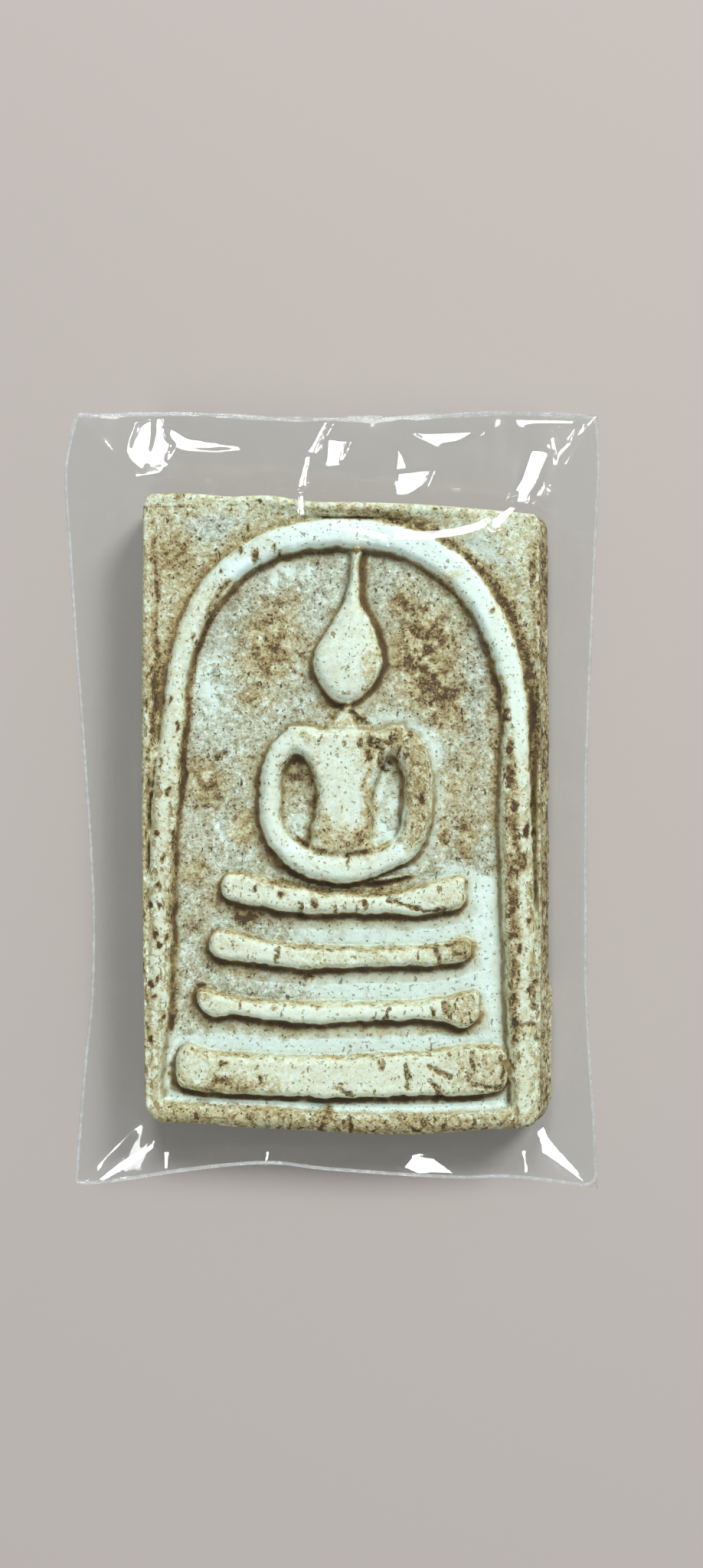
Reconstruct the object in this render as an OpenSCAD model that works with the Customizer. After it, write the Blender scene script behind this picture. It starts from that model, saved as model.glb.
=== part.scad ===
// Pressed powder amulet tablet lying in a clear heat-sealed film sleeve.
// The tablet lies on its back: +Z comes out of its face and +Y points to the top of the figure.
// The origin is under the middle of the sleeve, on the surface that the sleeve rests on.
// All lengths are millimetres.

/* [Tablet] */
// Widest width of the tablet
tablet_w = 24; // [18:0.5:36]
// Longest length of the tablet
tablet_l = 38; // [34:0.5:56]
// Thickness from the back to the sunk field
plate_t = 3; // [1.5:0.1:6]
// How far the corners are rounded
corner_r = 0.9; // [0.3:0.1:1.6]

/* [Rim and arch] */
// Width of the rim along the two long sides
rim_side_w = 0.8; // [0.6:0.1:1.6]
// Width of the rim along the bottom
rim_bottom_w = 1.4; // [0.8:0.1:2.6]
// Width of the lip along the top
rim_top_w = 1; // [0.6:0.1:1.6]
// Height of the rim over the field
rim_h = 1; // [0.4:0.1:1.6]
// Width of the arch band
arch_w = 1.8; // [1:0.1:2.6]
// Height of the arch band over the field
arch_h = 0.9; // [0.4:0.1:1.5]
// Height of the curved part of the arch, over its straight legs
arch_rise = 12.6; // [8:0.2:18]
// Distance from the top edge of the tablet to the middle of the band
arch_top_inset = 1.8; // [1.2:0.1:4]
// How square the shoulders of the arch are, 2 being an ellipse
arch_fullness = 2.3; // [2:0.1:3.2]
// How far each leg spreads outwards on its way down
leg_spread = 0.4; // [0:0.1:0.8]
// Width of the slope that falls from the top corners to the arch
corner_slope_w = 2.6; // [1:0.2:5]

/* [Figure] */
// Middle of the figure, to the right of the middle of the tablet
figure_x = 0.2; // [-1:0.1:1]
// Distance from the middle of the top tier to the middle of the lap
lap_over_seat = 2.2; // [1.4:0.1:3]
// Width over the arms, between their middle lines
body_w = 9; // [7:0.2:12]
// Length from the shoulders to the lap, between their middle lines
body_l = 7.8; // [6:0.2:9]
// How square the arms and lap are, 2 being an ellipse
body_fullness = 2.8; // [2:0.1:3.6]
// Width of an arm and of the lap
arm_w = 1.7; // [1:0.1:2]
// Width of the trunk at the waist
waist_w = 3.2; // [2:0.1:4]
// Width over the shoulders
shoulder_w = 9; // [6:0.2:10]
// Width of the head
head_w = 4.3; // [3:0.1:5]
// Length of the head
head_l = 4.8; // [4:0.1:5.4]
// Distance from the shoulders to the chin
neck_l = 1.3; // [0.8:0.1:2]
// Width of the neck
neck_w = 1.3; // [0.8:0.1:2]
// Width of the pointed hair at the head
spire_base_w = 3.6; // [2:0.1:4.2]
// Width of the pointed hair at the arch
spire_tip_w = 0.9; // [0.5:0.1:1.4]
// Height of the body over the field
body_h = 1.2; // [0.5:0.1:1.8]
// Height of the head over the field
head_h = 1.2; // [0.5:0.1:1.8]

/* [Seat tiers] */
// Thickness of a tier at its middle
tier_t = 1.3; // [0.9:0.1:1.8]
// Height of the tiers over the field
tier_h = 0.9; // [0.4:0.1:1.5]
// Distance from the bottom edge of the tablet to the middle of the lowest tier
tier_bottom_inset = 3.3; // [2.8:0.1:4]
// Distance from the middle of the lowest tier to the middle of the top one
tier_stack = 10.4; // [9:0.2:12]

/* [Sleeve] */
// Thickness of the clear film
film_t = 0.12; // [0.08:0.01:0.3]
// Clearance between the tablet and the film
film_gap = 0.1; // [0.05:0.01:0.4]
// Film past the tablet on the left
margin_left = 4.7; // [3:0.1:10]
// Film past the tablet on the right
margin_right = 3.2; // [3:0.1:10]
// Film past the tablet at the top
margin_top = 4.9; // [3:0.1:12]
// Film past the tablet at the bottom
margin_bottom = 3.3; // [3:0.1:10]
// Width of the melted seam round the edge
seam_w = 0.5; // [0.3:0.05:0.8]
// Thickness of the melted seam
seam_t = 0.34; // [0.2:0.02:0.6]
// Gap between the two films along the seam
seam_gap = 0.03; // [0.02:0.01:0.06]
// How far the folds stand out of the slopes of the film
fold_h = 0.35; // [0:0.05:0.5]

/* [Hidden] */

// Cells of the relief across and along the tablet
RELIEF_COLUMNS = 50;
RELIEF_ROWS = 76;
// Extra rows through each pair of rounded corners
CORNER_STEPS = 3;
// Rings of film between the tablet and the seam, and points along each side
SLOPE_RINGS = 6;
END_POINTS = 16;
SIDE_POINTS = 24;

// How far the slopes of the film sag below a straight line, 1 being straight
SLOPE_BOW = 1.15;
// How flat the tops of the ridges are, 2 being a plain curve
RIDGE_POWER = 3;
// Where the rim is highest, a share of its width from the edge of the tablet
RIM_CREST = 0.42;
// From the inner edge of the rim to the middle of a leg, a share of the width of the band
LEG_STEP = 0.58;
// How late the trunk widens to the shoulders, and how soon the hair narrows to its point
TRUNK_FLARE = 2.5;
SPIRE_FLARE = 0.6;
// How much narrower the head is at the chin
CHIN_TAPER = 0.25;
// Where the hair starts, a share of half the length of the head over its middle
HAIR_LINE = 0.67;
// How near their ends the tiers turn up, and how near they thicken
TIER_CURL = 3;
TIER_KNOB = 6;

// Corners of the hand trimmed outline
BOTTOM_LEFT = 0;
BOTTOM_RIGHT = 1;
TOP_RIGHT = 2;
TOP_LEFT = 3;
CORNER_X = 0;     // share of the half width
CORNER_Y = 1;     // share of the half length
CORNER_ROUND = 2; // share of corner_r
CORNERS = [
    [-0.99, -0.965, 1.5],
    [ 0.98, -1.000, 0.9],
    [ 1.00,  0.935, 0.8],
    [-1.00,  1.000, 0.8]
];

// Tiers of the seat from the top one down
TIER_PLACE = 0;  // share of the way from the lowest tier to the top one
TIER_LENGTH = 1; // share of the width between the legs of the arch
TIER_MIDDLE = 2; // share of tier_t at the middle
TIER_END = 3;    // share of tier_t at the ends
TIER_TURN = 4;   // how far the ends turn up, a share of tier_t
TIERS = [
    [1.00, 0.77, 1.00, 1.50, 0.80],
    [0.70, 0.82, 1.05, 1.50, 0.45],
    [0.38, 0.90, 0.95, 1.60, 0.35],
    [0.00, 1.02, 2.00, 2.20, 0.20]
];

// Waisted side edges of the sleeve, from the bottom to the top
EDGE_PLACE = 0; // share of the length of the edge
EDGE_LOW = 1;   // inset of the left or bottom edge, a share of that margin
EDGE_HIGH = 2;  // inset of the right or top edge, a share of that margin
SIDE_EDGES = [
    [0.00, 0.20, 0.04],
    [0.15, 0.24, 0.16],
    [0.26, 0.34, 0.23],
    [0.39, 0.34, 0.24],
    [0.54, 0.25, 0.23],
    [0.68, 0.15, 0.16],
    [0.83, 0.05, 0.07],
    [0.93, 0.00, 0.00],
    [1.00, 0.13, 0.04]
];

// Uneven ends of the sleeve, from the left to the right
END_EDGES = [
    [0.00, 0.10, 0.04],
    [0.06, 0.08, 0.02],
    [0.24, 0.33, 0.00],
    [0.38, 0.44, 0.06],
    [0.50, 0.32, 0.07],
    [0.73, 0.18, 0.02],
    [0.84, 0.19, 0.00],
    [1.00, 0.00, 0.04]
];

// Folds in the slopes of the film, going round from the bottom left corner
FOLD_PLACE = 0;  // share of the way round
FOLD_SPREAD = 1; // half width, a share of the way round
FOLD_HEIGHT = 2; // share of fold_h, below zero for a dent
FOLDS = [
    [0.000, 0.020,  1.0],
    [0.075, 0.020, -0.6],
    [0.130, 0.025,  0.5],
    [0.205, 0.020,  1.0],
    [0.330, 0.035, -0.4],
    [0.505, 0.020,  0.9],
    [0.560, 0.020, -0.7],
    [0.610, 0.022,  0.6],
    [0.705, 0.022,  1.0],
    [0.780, 0.030, -0.5]
];

relief_h = max(rim_h, arch_h, body_h, head_h, tier_h);
tablet_t = plate_t + relief_h;
sleeve_w = tablet_w + margin_left + margin_right;
sleeve_l = tablet_l + margin_bottom + margin_top;
tablet_x = (margin_left - margin_right) / 2;
tablet_y = (margin_bottom - margin_top) / 2;
seat_z = film_t + film_gap;
sleeve_t = tablet_t + 2 * seat_z;
seam_z = sleeve_t / 2;

// Arch: its legs stand against the inner edges of the side rims
arch_half_w = tablet_w / 2 - rim_side_w - LEG_STEP * arch_w;
arch_top_y = tablet_l / 2 - arch_top_inset;
arch_spring_y = arch_top_y - arch_rise;
leg_l = arch_spring_y + tablet_l / 2;

// Seat and figure, from the bottom edge up
lowest_tier_y = tier_bottom_inset - tablet_l / 2;
lap_y = lowest_tier_y + tier_stack + lap_over_seat;
body_y = lap_y + body_l / 2;
shoulder_y = lap_y + body_l;
trunk_top_y = shoulder_y + arm_w / 2;
head_y = trunk_top_y + neck_l + head_l / 2;
hair_y = head_y + HAIR_LINE * head_l / 2;

function mix(a, b, share) = a + (b - a) * share;
function unit(v) = max(0, min(1, v));
function ease(v) = let (s = unit(v)) s * s * (3 - 2 * s);

// Rounded ridge: 1 on its middle line, 0 from half its width outwards
function ridge(d, half) = 1 - pow(min(1, abs(d) / half), RIDGE_POWER);

// Signed distance from a superellipse, from its level over the length of its slope
function superellipse_gap(x, y, half_w, half_l, fullness) =
    let (
        sx = abs(x) / half_w,
        sy = abs(y) / half_l,
        level = pow(max(0.001, pow(sx, fullness) + pow(sy, fullness)), 1 / fullness),
        slope_x = pow(sx / level, fullness - 1) / half_w,
        slope_y = pow(sy / level, fullness - 1) / half_l
    )
    (level - 1) / norm([slope_x, slope_y]);

// Point of the tablet's outline stretched over the unit square, before its corners are rounded
function tablet_plan(u, v) =
    let (
        low = mix(CORNERS[BOTTOM_LEFT], CORNERS[BOTTOM_RIGHT], u),
        high = mix(CORNERS[TOP_LEFT], CORNERS[TOP_RIGHT], u),
        spot = mix(low, high, v)
    )
    [spot[CORNER_X] * tablet_w / 2, spot[CORNER_Y] * tablet_l / 2];

// How far a corner's rounding pulls a row in, at a distance from the end of the tablet
function corner_pull(d, corner) =
    let (r = corner_r * CORNERS[corner][CORNER_ROUND])
    d >= r ? 0 : r - sqrt(r * r - (r - d) * (r - d));

// Rows of the relief: close together through the corners and even between them
widest_corner = corner_r * max([for (corner = CORNERS) corner[CORNER_ROUND]]);
corner_rows = [for (i = [0:CORNER_STEPS - 1]) widest_corner * (1 - cos(90 * i / CORNER_STEPS))];
even_rows = [for (i = [0:RELIEF_ROWS]) mix(widest_corner, tablet_l - widest_corner, i / RELIEF_ROWS)];
top_rows = [for (i = [CORNER_STEPS - 1:-1:0]) tablet_l - corner_rows[i]];
ROWS = concat(corner_rows, even_rows, top_rows);

function relief_point(i, row) =
    let (
        u = i / RELIEF_COLUMNS,
        from_end = min(row, tablet_l - row),
        low_half = row < tablet_l / 2,
        pull_left = corner_pull(from_end, low_half ? BOTTOM_LEFT : TOP_LEFT),
        pull_right = corner_pull(from_end, low_half ? BOTTOM_RIGHT : TOP_RIGHT),
        plan = tablet_plan(u, row / tablet_l)
    )
    [plan.x + mix(pull_left, -pull_right, u), plan.y];

// Heights over the field, each as a function of a place on the tablet
function rim_at(p, u, v) =
    let (
        left = p.x - tablet_plan(0, v).x,
        right = tablet_plan(1, v).x - p.x,
        bottom = p.y - tablet_plan(u, 0).y,
        top = tablet_plan(u, 1).y - p.y
    )
    rim_h * max(
        edge_ridge(left, rim_side_w),
        edge_ridge(right, rim_side_w),
        edge_ridge(bottom, rim_bottom_w),
        edge_ridge(top, rim_top_w)
    );

// Rim across its width w, at a distance d from the edge of the tablet, where it keeps some height
function edge_ridge(d, w) = ridge(d - RIM_CREST * w, (1 - RIM_CREST) * w);

// Distance outwards from the middle line of the arch and of its legs
function arch_gap(p) =
    let (
        below = max(0, arch_spring_y - p.y),
        half_w = arch_half_w + leg_spread * below / leg_l
    )
    p.y > arch_spring_y
        ? superellipse_gap(p.x, p.y - arch_spring_y, half_w, arch_rise, arch_fullness)
        : abs(p.x) - half_w;

function arch_at(p) = arch_h * ridge(arch_gap(p), arch_w / 2);

// The top corners: as high as the rim, with a slope down to the outside of the arch
function corners_at(p) =
    rim_h * ease(min(arch_gap(p) - arch_w / 2, p.y - arch_spring_y) / corner_slope_w);

function trunk_at(x, y) =
    let (
        share = unit((y - lap_y) / (trunk_top_y - lap_y)),
        half = mix(waist_w, shoulder_w, pow(share, TRUNK_FLARE)) / 2
    )
    y < lap_y ? 0 : min(ridge(x, half), ridge(max(0, y - shoulder_y), arm_w / 2));

function arms_at(x, y) =
    ridge(superellipse_gap(x, y - body_y, body_w / 2, body_l / 2, body_fullness), arm_w / 2);

function head_at(x, y) =
    let (
        sy = (y - head_y) / (head_l / 2),
        taper = sy < 0 ? 1 - CHIN_TAPER * sy * sy : 1,
        sx = x / (head_w / 2 * taper)
    )
    sqrt(max(0, 1 - pow(norm([sx, sy]), RIDGE_POWER)));

function neck_at(x, y) = y > head_y || y < shoulder_y ? 0 : ridge(x, neck_w / 2);

function spire_at(x, y) =
    let (
        share = unit((y - hair_y) / (arch_top_y - hair_y)),
        half = mix(spire_base_w, spire_tip_w, pow(share, SPIRE_FLARE)) / 2
    )
    y < hair_y || y > arch_top_y ? 0 : ridge(x, half);

function figure_at(p) =
    let (x = p.x - figure_x)
    max(
        body_h * max(trunk_at(x, p.y), arms_at(x, p.y)),
        head_h * head_at(x, p.y),
        arch_h * max(neck_at(x, p.y), spire_at(x, p.y))
    );

function tier_at(p, tier) =
    let (
        half_l = arch_half_w * tier[TIER_LENGTH],
        middle_y = lowest_tier_y + tier_stack * tier[TIER_PLACE],
        out = unit(abs(p.x) / half_l),
        y = p.y - middle_y - tier_t * tier[TIER_TURN] * pow(out, TIER_CURL),
        half_t = tier_t / 2 * mix(tier[TIER_MIDDLE], tier[TIER_END], pow(out, TIER_KNOB)),
        past_end = max(0, abs(p.x) - half_l + half_t)
    )
    tier_h * ridge(norm([past_end, y]), half_t);

function relief_at(p, u, v) =
    max(
        rim_at(p, u, v),
        corners_at(p),
        arch_at(p),
        figure_at(p),
        max([for (tier = TIERS) tier_at(p, tier)])
    );

// Faces between two closed loops of n points that start at a and b
function band(a, b, n) = [for (i = [0:n - 1]) let (j = (i + 1) % n) [a + i, a + j, b + j, b + i]];

// Faces that close a loop of points at a middle point
function fan(loop, middle) = [for (i = [0:len(loop) - 1]) [middle, loop[i], loop[(i + 1) % len(loop)]]];

function numbers(start, n) = [for (i = [0:n - 1]) start + i];
function backwards(list) = [for (i = [len(list) - 1:-1:0]) list[i]];

// Relief over a flat back: a grid of heights, with walls down to the outline of the back
module tablet() {
    columns = RELIEF_COLUMNS;
    rows = len(ROWS) - 1;
    stride = columns + 1;
    plan = [for (row = ROWS) [for (i = [0:columns]) relief_point(i, row)]];
    face = [for (j = [0:rows]) for (i = [0:columns])
        let (p = plan[j][i], h = relief_at(p, i / columns, ROWS[j] / tablet_l))
        [p.x, p.y, plate_t + h]];
    edge = concat(
        [for (i = [0:columns - 1]) i],
        [for (j = [0:rows - 1]) j * stride + columns],
        [for (i = [columns:-1:1]) rows * stride + i],
        [for (j = [rows:-1:1]) j * stride]
    );
    back = [for (k = edge) [face[k].x, face[k].y, 0]];
    first = len(face);
    count = len(edge);
    cells = [for (j = [0:rows - 1]) for (i = [0:columns - 1])
        let (a = j * stride + i, b = a + 1, c = a + stride, d = c + 1)
        each abs(face[a].z - face[d].z) < abs(face[b].z - face[c].z)
            ? [[a, c, d], [a, d, b]]
            : [[a, c, b], [b, c, d]]];
    walls = [for (i = [0:count - 1])
        let (j = (i + 1) % count)
        [edge[i], edge[j], first + j, first + i]];
    color([0.87, 0.86, 0.76])
        translate([tablet_x, tablet_y, seat_z])
            polyhedron(
                points = concat(face, back, [[0, 0, 0]]),
                faces = concat(cells, walls, fan(numbers(first, count), first + count)),
                convexity = 8
            );
}

// Point of the sleeve stretched over the unit square, with its waisted and uneven edges
function sleeve_plan(u, v) =
    let (
        side_low = lookup(v, [for (e = SIDE_EDGES) [e[EDGE_PLACE], e[EDGE_LOW]]]),
        side_high = lookup(v, [for (e = SIDE_EDGES) [e[EDGE_PLACE], e[EDGE_HIGH]]]),
        end_low = lookup(u, [for (e = END_EDGES) [e[EDGE_PLACE], e[EDGE_LOW]]]),
        end_high = lookup(u, [for (e = END_EDGES) [e[EDGE_PLACE], e[EDGE_HIGH]]])
    )
    [
        mix(-sleeve_w / 2 + margin_left * side_low, sleeve_w / 2 - margin_right * side_high, u),
        mix(-sleeve_l / 2 + margin_bottom * end_low, sleeve_l / 2 - margin_top * end_high, v)
    ];

// The way round the unit square, anticlockwise from its bottom left corner
AROUND = concat(
    [for (i = [0:END_POINTS - 1]) [i / END_POINTS, 0]],
    [for (i = [0:SIDE_POINTS - 1]) [1, i / SIDE_POINTS]],
    [for (i = [0:END_POINTS - 1]) [1 - i / END_POINTS, 1]],
    [for (i = [0:SIDE_POINTS - 1]) [0, 1 - i / SIDE_POINTS]]
);

// Height of the folds at a share of the way round, 1 for a full fold
function fold_at(share) =
    let (parts = [for (fold = FOLDS)
        let (
            apart = abs(share - fold[FOLD_PLACE]),
            d = min(apart, 1 - apart) / fold[FOLD_SPREAD]
        )
        d < 1 ? fold[FOLD_HEIGHT] * (1 + cos(180 * d)) / 2 : 0])
    parts * [for (part = parts) 1];

// One ring of film at a share of the way from the tablet to the seam.
// grow is how far it clears the tablet, inset how far it stops from the edge of the sleeve, low
// its height over the seam there, and high its height over the seam where it covers the tablet.
function film_ring(share, grow, inset, low, high) =
    [for (k = [0:len(AROUND) - 1])
        let (
            q = AROUND[k],
            out = [2 * q.x - 1, 2 * q.y - 1],
            at_tablet = tablet_plan(q.x, q.y) + [tablet_x, tablet_y] + grow * out,
            at_seam = sleeve_plan(q.x, q.y) - inset * out,
            plan = mix(at_tablet, at_seam, share),
            fold = fold_h * fold_at(k / len(AROUND)) * 4 * share * (1 - share)
        )
        [plan.x, plan.y, mix(low, high, pow(1 - share, SLOPE_BOW)) + fold]];

// Film over the face of the tablet, with the seam at z = 0: its outer rings run from the tablet
// to the edge, its inner ones from the lip of the seam back to the tablet.
module film() {
    n = len(AROUND);
    shares = [for (k = [0:SLOPE_RINGS]) k / SLOPE_RINGS];
    high = sleeve_t / 2;
    outer = [for (s = shares) each film_ring(s, film_gap + film_t, 0, seam_t / 2, high)];
    lip = film_ring(1, film_gap, 0, seam_gap / 2, high);
    inner = [for (k = [SLOPE_RINGS:-1:0])
        each film_ring(shares[k], film_gap, seam_w, seam_gap / 2, high - film_t)];
    rings = 2 * len(shares) + 1;
    points = concat(outer, lip, inner);
    middles = [[tablet_x, tablet_y, high], [tablet_x, tablet_y, high - film_t]];
    polyhedron(
        points = concat(points, middles),
        faces = concat(
            fan(backwards(numbers(0, n)), len(points)),
            [for (k = [0:rings - 2]) each band(k * n, (k + 1) * n, n)],
            fan(numbers((rings - 1) * n, n), len(points) + 1)
        ),
        convexity = 8
    );
}

module front_film() {
    color([0.85, 0.92, 0.95, 0.35]) translate([0, 0, seam_z]) film();
}

module back_film() {
    color([0.80, 0.88, 0.92, 0.35]) translate([0, 0, seam_z]) mirror([0, 0, 1]) film();
}

tablet();
front_film();
back_film();
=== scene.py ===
import bpy
import numpy as np
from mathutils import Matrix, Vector


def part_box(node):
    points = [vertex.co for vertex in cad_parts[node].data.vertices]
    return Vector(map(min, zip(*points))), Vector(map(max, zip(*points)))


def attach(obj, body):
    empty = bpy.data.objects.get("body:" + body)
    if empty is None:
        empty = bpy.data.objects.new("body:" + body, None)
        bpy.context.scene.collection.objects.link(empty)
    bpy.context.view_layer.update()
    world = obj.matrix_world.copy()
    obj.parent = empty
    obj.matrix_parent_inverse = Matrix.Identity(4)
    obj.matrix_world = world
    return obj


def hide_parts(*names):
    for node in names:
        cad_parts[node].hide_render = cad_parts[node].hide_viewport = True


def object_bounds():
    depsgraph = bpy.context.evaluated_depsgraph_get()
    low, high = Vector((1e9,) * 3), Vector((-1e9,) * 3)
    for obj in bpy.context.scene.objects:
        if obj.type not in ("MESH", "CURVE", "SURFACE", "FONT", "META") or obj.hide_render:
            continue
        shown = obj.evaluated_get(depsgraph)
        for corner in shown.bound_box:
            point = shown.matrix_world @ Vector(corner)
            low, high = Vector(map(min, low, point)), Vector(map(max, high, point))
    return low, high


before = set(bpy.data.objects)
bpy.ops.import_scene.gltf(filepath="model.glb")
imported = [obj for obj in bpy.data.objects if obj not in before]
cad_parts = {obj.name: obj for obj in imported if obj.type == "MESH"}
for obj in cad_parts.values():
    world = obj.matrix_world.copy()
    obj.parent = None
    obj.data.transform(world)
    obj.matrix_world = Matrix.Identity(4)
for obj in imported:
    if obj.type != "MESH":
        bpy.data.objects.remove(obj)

cad_box = [list(corner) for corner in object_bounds()]
scene = bpy.context.scene

# Camera
# It looks straight down on the face of the tablet from about ten centimetres, with the top of the
# figure up. The long side of the picture takes in 92.6 mm at the height of the face.
mm = 0.001
view_x, view_y, view_z = 1.16 * mm, 0.96 * mm, 104 * mm
face_z = 4 * mm
seen_length = 92.6 * mm

lens = bpy.data.cameras.new("camera")
lens.sensor_width = 36
lens.lens = lens.sensor_width * (view_z - face_z) / seen_length
lens.clip_start, lens.clip_end = 0.005, 10
camera = bpy.data.objects.new("camera", lens)
camera.location = (view_x, view_y, view_z)
scene.collection.objects.link(camera)
scene.camera = camera

# Tablet
# Lime powder bound with oil, pressed face down into a carved mould, trimmed by hand along its four
# sides and left to age. Nothing fixes it: it lies loose between the two films. All places on it are
# millimetres from its middle, with the top of the figure up.
tablet_low, tablet_high = (np.array(corner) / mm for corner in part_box("tablet"))
middle_x, middle_y = (tablet_low[:2] + tablet_high[:2]) / 2
half_w, half_l = (tablet_high[:2] - tablet_low[:2]) / 2
base_z = tablet_low[2]
plate_t = 3.0
cell = 0.111

# Trimmed corners of the face: place as shares of the half sizes, then the radius
CORNERS = {
    "bottom left": (-0.9875, -0.968, 1.5),
    "bottom right": (0.972, -0.985, 1.35),
    "top right": (0.970, 0.937, 0.75),
    "top left": (-0.999, 1.000, 0.85),
}
# How far the ends bow out between their corners: share of the way across, bottom, top
END_BOWS = [
    (0.00, 0.00, 0.00), (0.10, 0.02, 0.14), (0.20, 0.17, 0.08), (0.31, 0.26, 0.26),
    (0.42, 0.34, 0.04), (0.55, 0.46, 0.16), (0.72, 0.43, 0.22), (0.90, 0.10, 0.10), (1.00, 0.00, 0.00),
]
# How far the back reaches past the face on the left, right, bottom and top
SPREAD = (0.05, 0.62, 0.02, 0.06)
side_bulge = 0.16

rim_h, rim_shoulder, rim_edge_r, bottom_edge_r = 0.95, 0.35, 0.3, 0.85
right_rim_w, bottom_rim_w, top_rim_w = 0.36, 1.28, 0.8
arch_h, arch_shoulder = 0.86, 0.55
arch_half_w, arch_rise, arch_spring_y = 10.2, 12.62, 4.0
arch_fullness_left, arch_fullness_right = 2.45, 2.3
corner_low, corner_high, corner_slope_w = 0.36, 0.9, 2.3
tier_h, tier_shoulder, tier_end_r = 0.84, 0.5, 0.5
body_h, body_shoulder = 1.04, 0.6
head_h, head_half_w, head_half_l = 1.08, 2.12, 2.42
head_x, head_y, chin_taper = 0.18, 8.88, 0.26

# Middle lines of the legs of the arch from the foot up: x, y, half width
LEFT_LEG = [
    (-11.25, -17.6, 0.50), (-11.30, -15.5, 0.46), (-11.25, -13.2, 0.62), (-11.05, -10.5, 0.80),
    (-10.95, -7.0, 0.82), (-10.86, -3.7, 0.80), (-10.62, 1.0, 0.82), (-10.12, 5.4, 0.80),
]
RIGHT_LEG = [
    (10.62, -17.6, 0.80), (10.58, -14.0, 0.92), (10.45, -9.0, 1.00), (10.30, -4.0, 1.02),
    (10.12, 0.0, 0.98), (10.16, 3.2, 0.88), (10.14, 5.4, 0.80),
]
# Arms and lap, one raised band from the left shoulder round to the right one: x, y, half width
ARMS = [
    (-2.20, 4.46, 0.74), (-3.50, 4.00, 0.74), (-4.30, 2.60, 0.66), (-4.45, 0.80, 0.65),
    (-4.18, -1.05, 0.68), (-3.26, -2.30, 0.74), (-1.80, -3.08, 0.80), (-0.20, -3.33, 0.82),
    (1.48, -3.08, 0.78), (2.85, -2.48, 0.80), (3.88, -1.60, 0.86), (4.30, 0.10, 0.92),
    (4.38, 1.90, 0.90), (4.00, 3.50, 0.90), (3.05, 4.38, 0.80),
]
# Trunk from the lap up: y, left edge, right edge
TRUNK = [
    (-2.60, -2.15, 1.95), (-1.40, -2.05, 1.65), (0.10, -1.75, 1.62), (1.35, -1.66, 1.72),
    (2.45, -2.00, 2.10), (3.45, -2.55, 2.60), (4.10, -3.10, 3.20), (5.10, -3.30, 3.45),
]
trunk_top_y = 5.12
# Pointed hair from the head up to the arch: x, y, half width
HAIR = [
    (0.45, 11.0, 1.25), (0.47, 11.6, 0.90), (0.43, 12.4, 0.58), (0.55, 13.6, 0.38),
    (0.62, 14.7, 0.30), (0.70, 15.5, 0.32),
]
# Neck from the head down to the shoulders: x, y, half width
NECK = [(0.20, 6.9, 0.20), (0.16, 6.1, 0.28), (0.05, 5.5, 0.66), (-0.05, 5.0, 1.10)]
# A thin fold of powder under the lap
SLIVER = [(1.50, -4.02, 0.04), (2.30, -3.86, 0.13), (3.20, -3.72, 0.12), (3.90, -3.62, 0.04)]
# The four tiers of the seat from the top one down: x, bottom edge, top edge
TIERS = [
    [(-7.36, -5.05, -3.72), (-6.70, -5.20, -3.46), (-5.10, -5.54, -3.74), (-3.10, -5.88, -4.26),
     (-0.70, -5.98, -4.68), (1.75, -5.98, -4.76), (4.20, -6.06, -4.34), (5.80, -5.94, -3.88),
     (7.22, -5.56, -3.58)],
    [(-8.04, -8.44, -7.02), (-7.05, -8.70, -6.90), (-5.60, -8.88, -7.22), (-3.60, -9.11, -7.66),
     (-1.40, -9.24, -7.86), (1.75, -9.12, -7.88), (4.80, -9.06, -7.80), (6.60, -8.92, -7.50),
     (7.56, -8.64, -7.28)],
    [(-8.86, -11.20, -10.24), (-7.90, -12.05, -10.40), (-6.60, -11.98, -10.86),
     (-4.80, -12.30, -11.08), (-1.90, -12.50, -11.20), (1.10, -12.42, -11.20),
     (4.20, -12.26, -11.12), (5.65, -12.36, -10.88), (7.00, -12.72, -10.62), (8.05, -12.30, -10.40)],
    [(-10.06, -16.20, -14.10), (-9.20, -16.42, -13.72), (-7.65, -16.62, -14.12),
     (-5.00, -16.70, -14.28), (-1.90, -16.88, -14.40), (0.60, -16.88, -14.32),
     (4.20, -16.80, -14.15), (6.60, -16.77, -13.86), (8.80, -16.64, -13.74), (9.70, -16.28, -13.95)],
]
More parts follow.
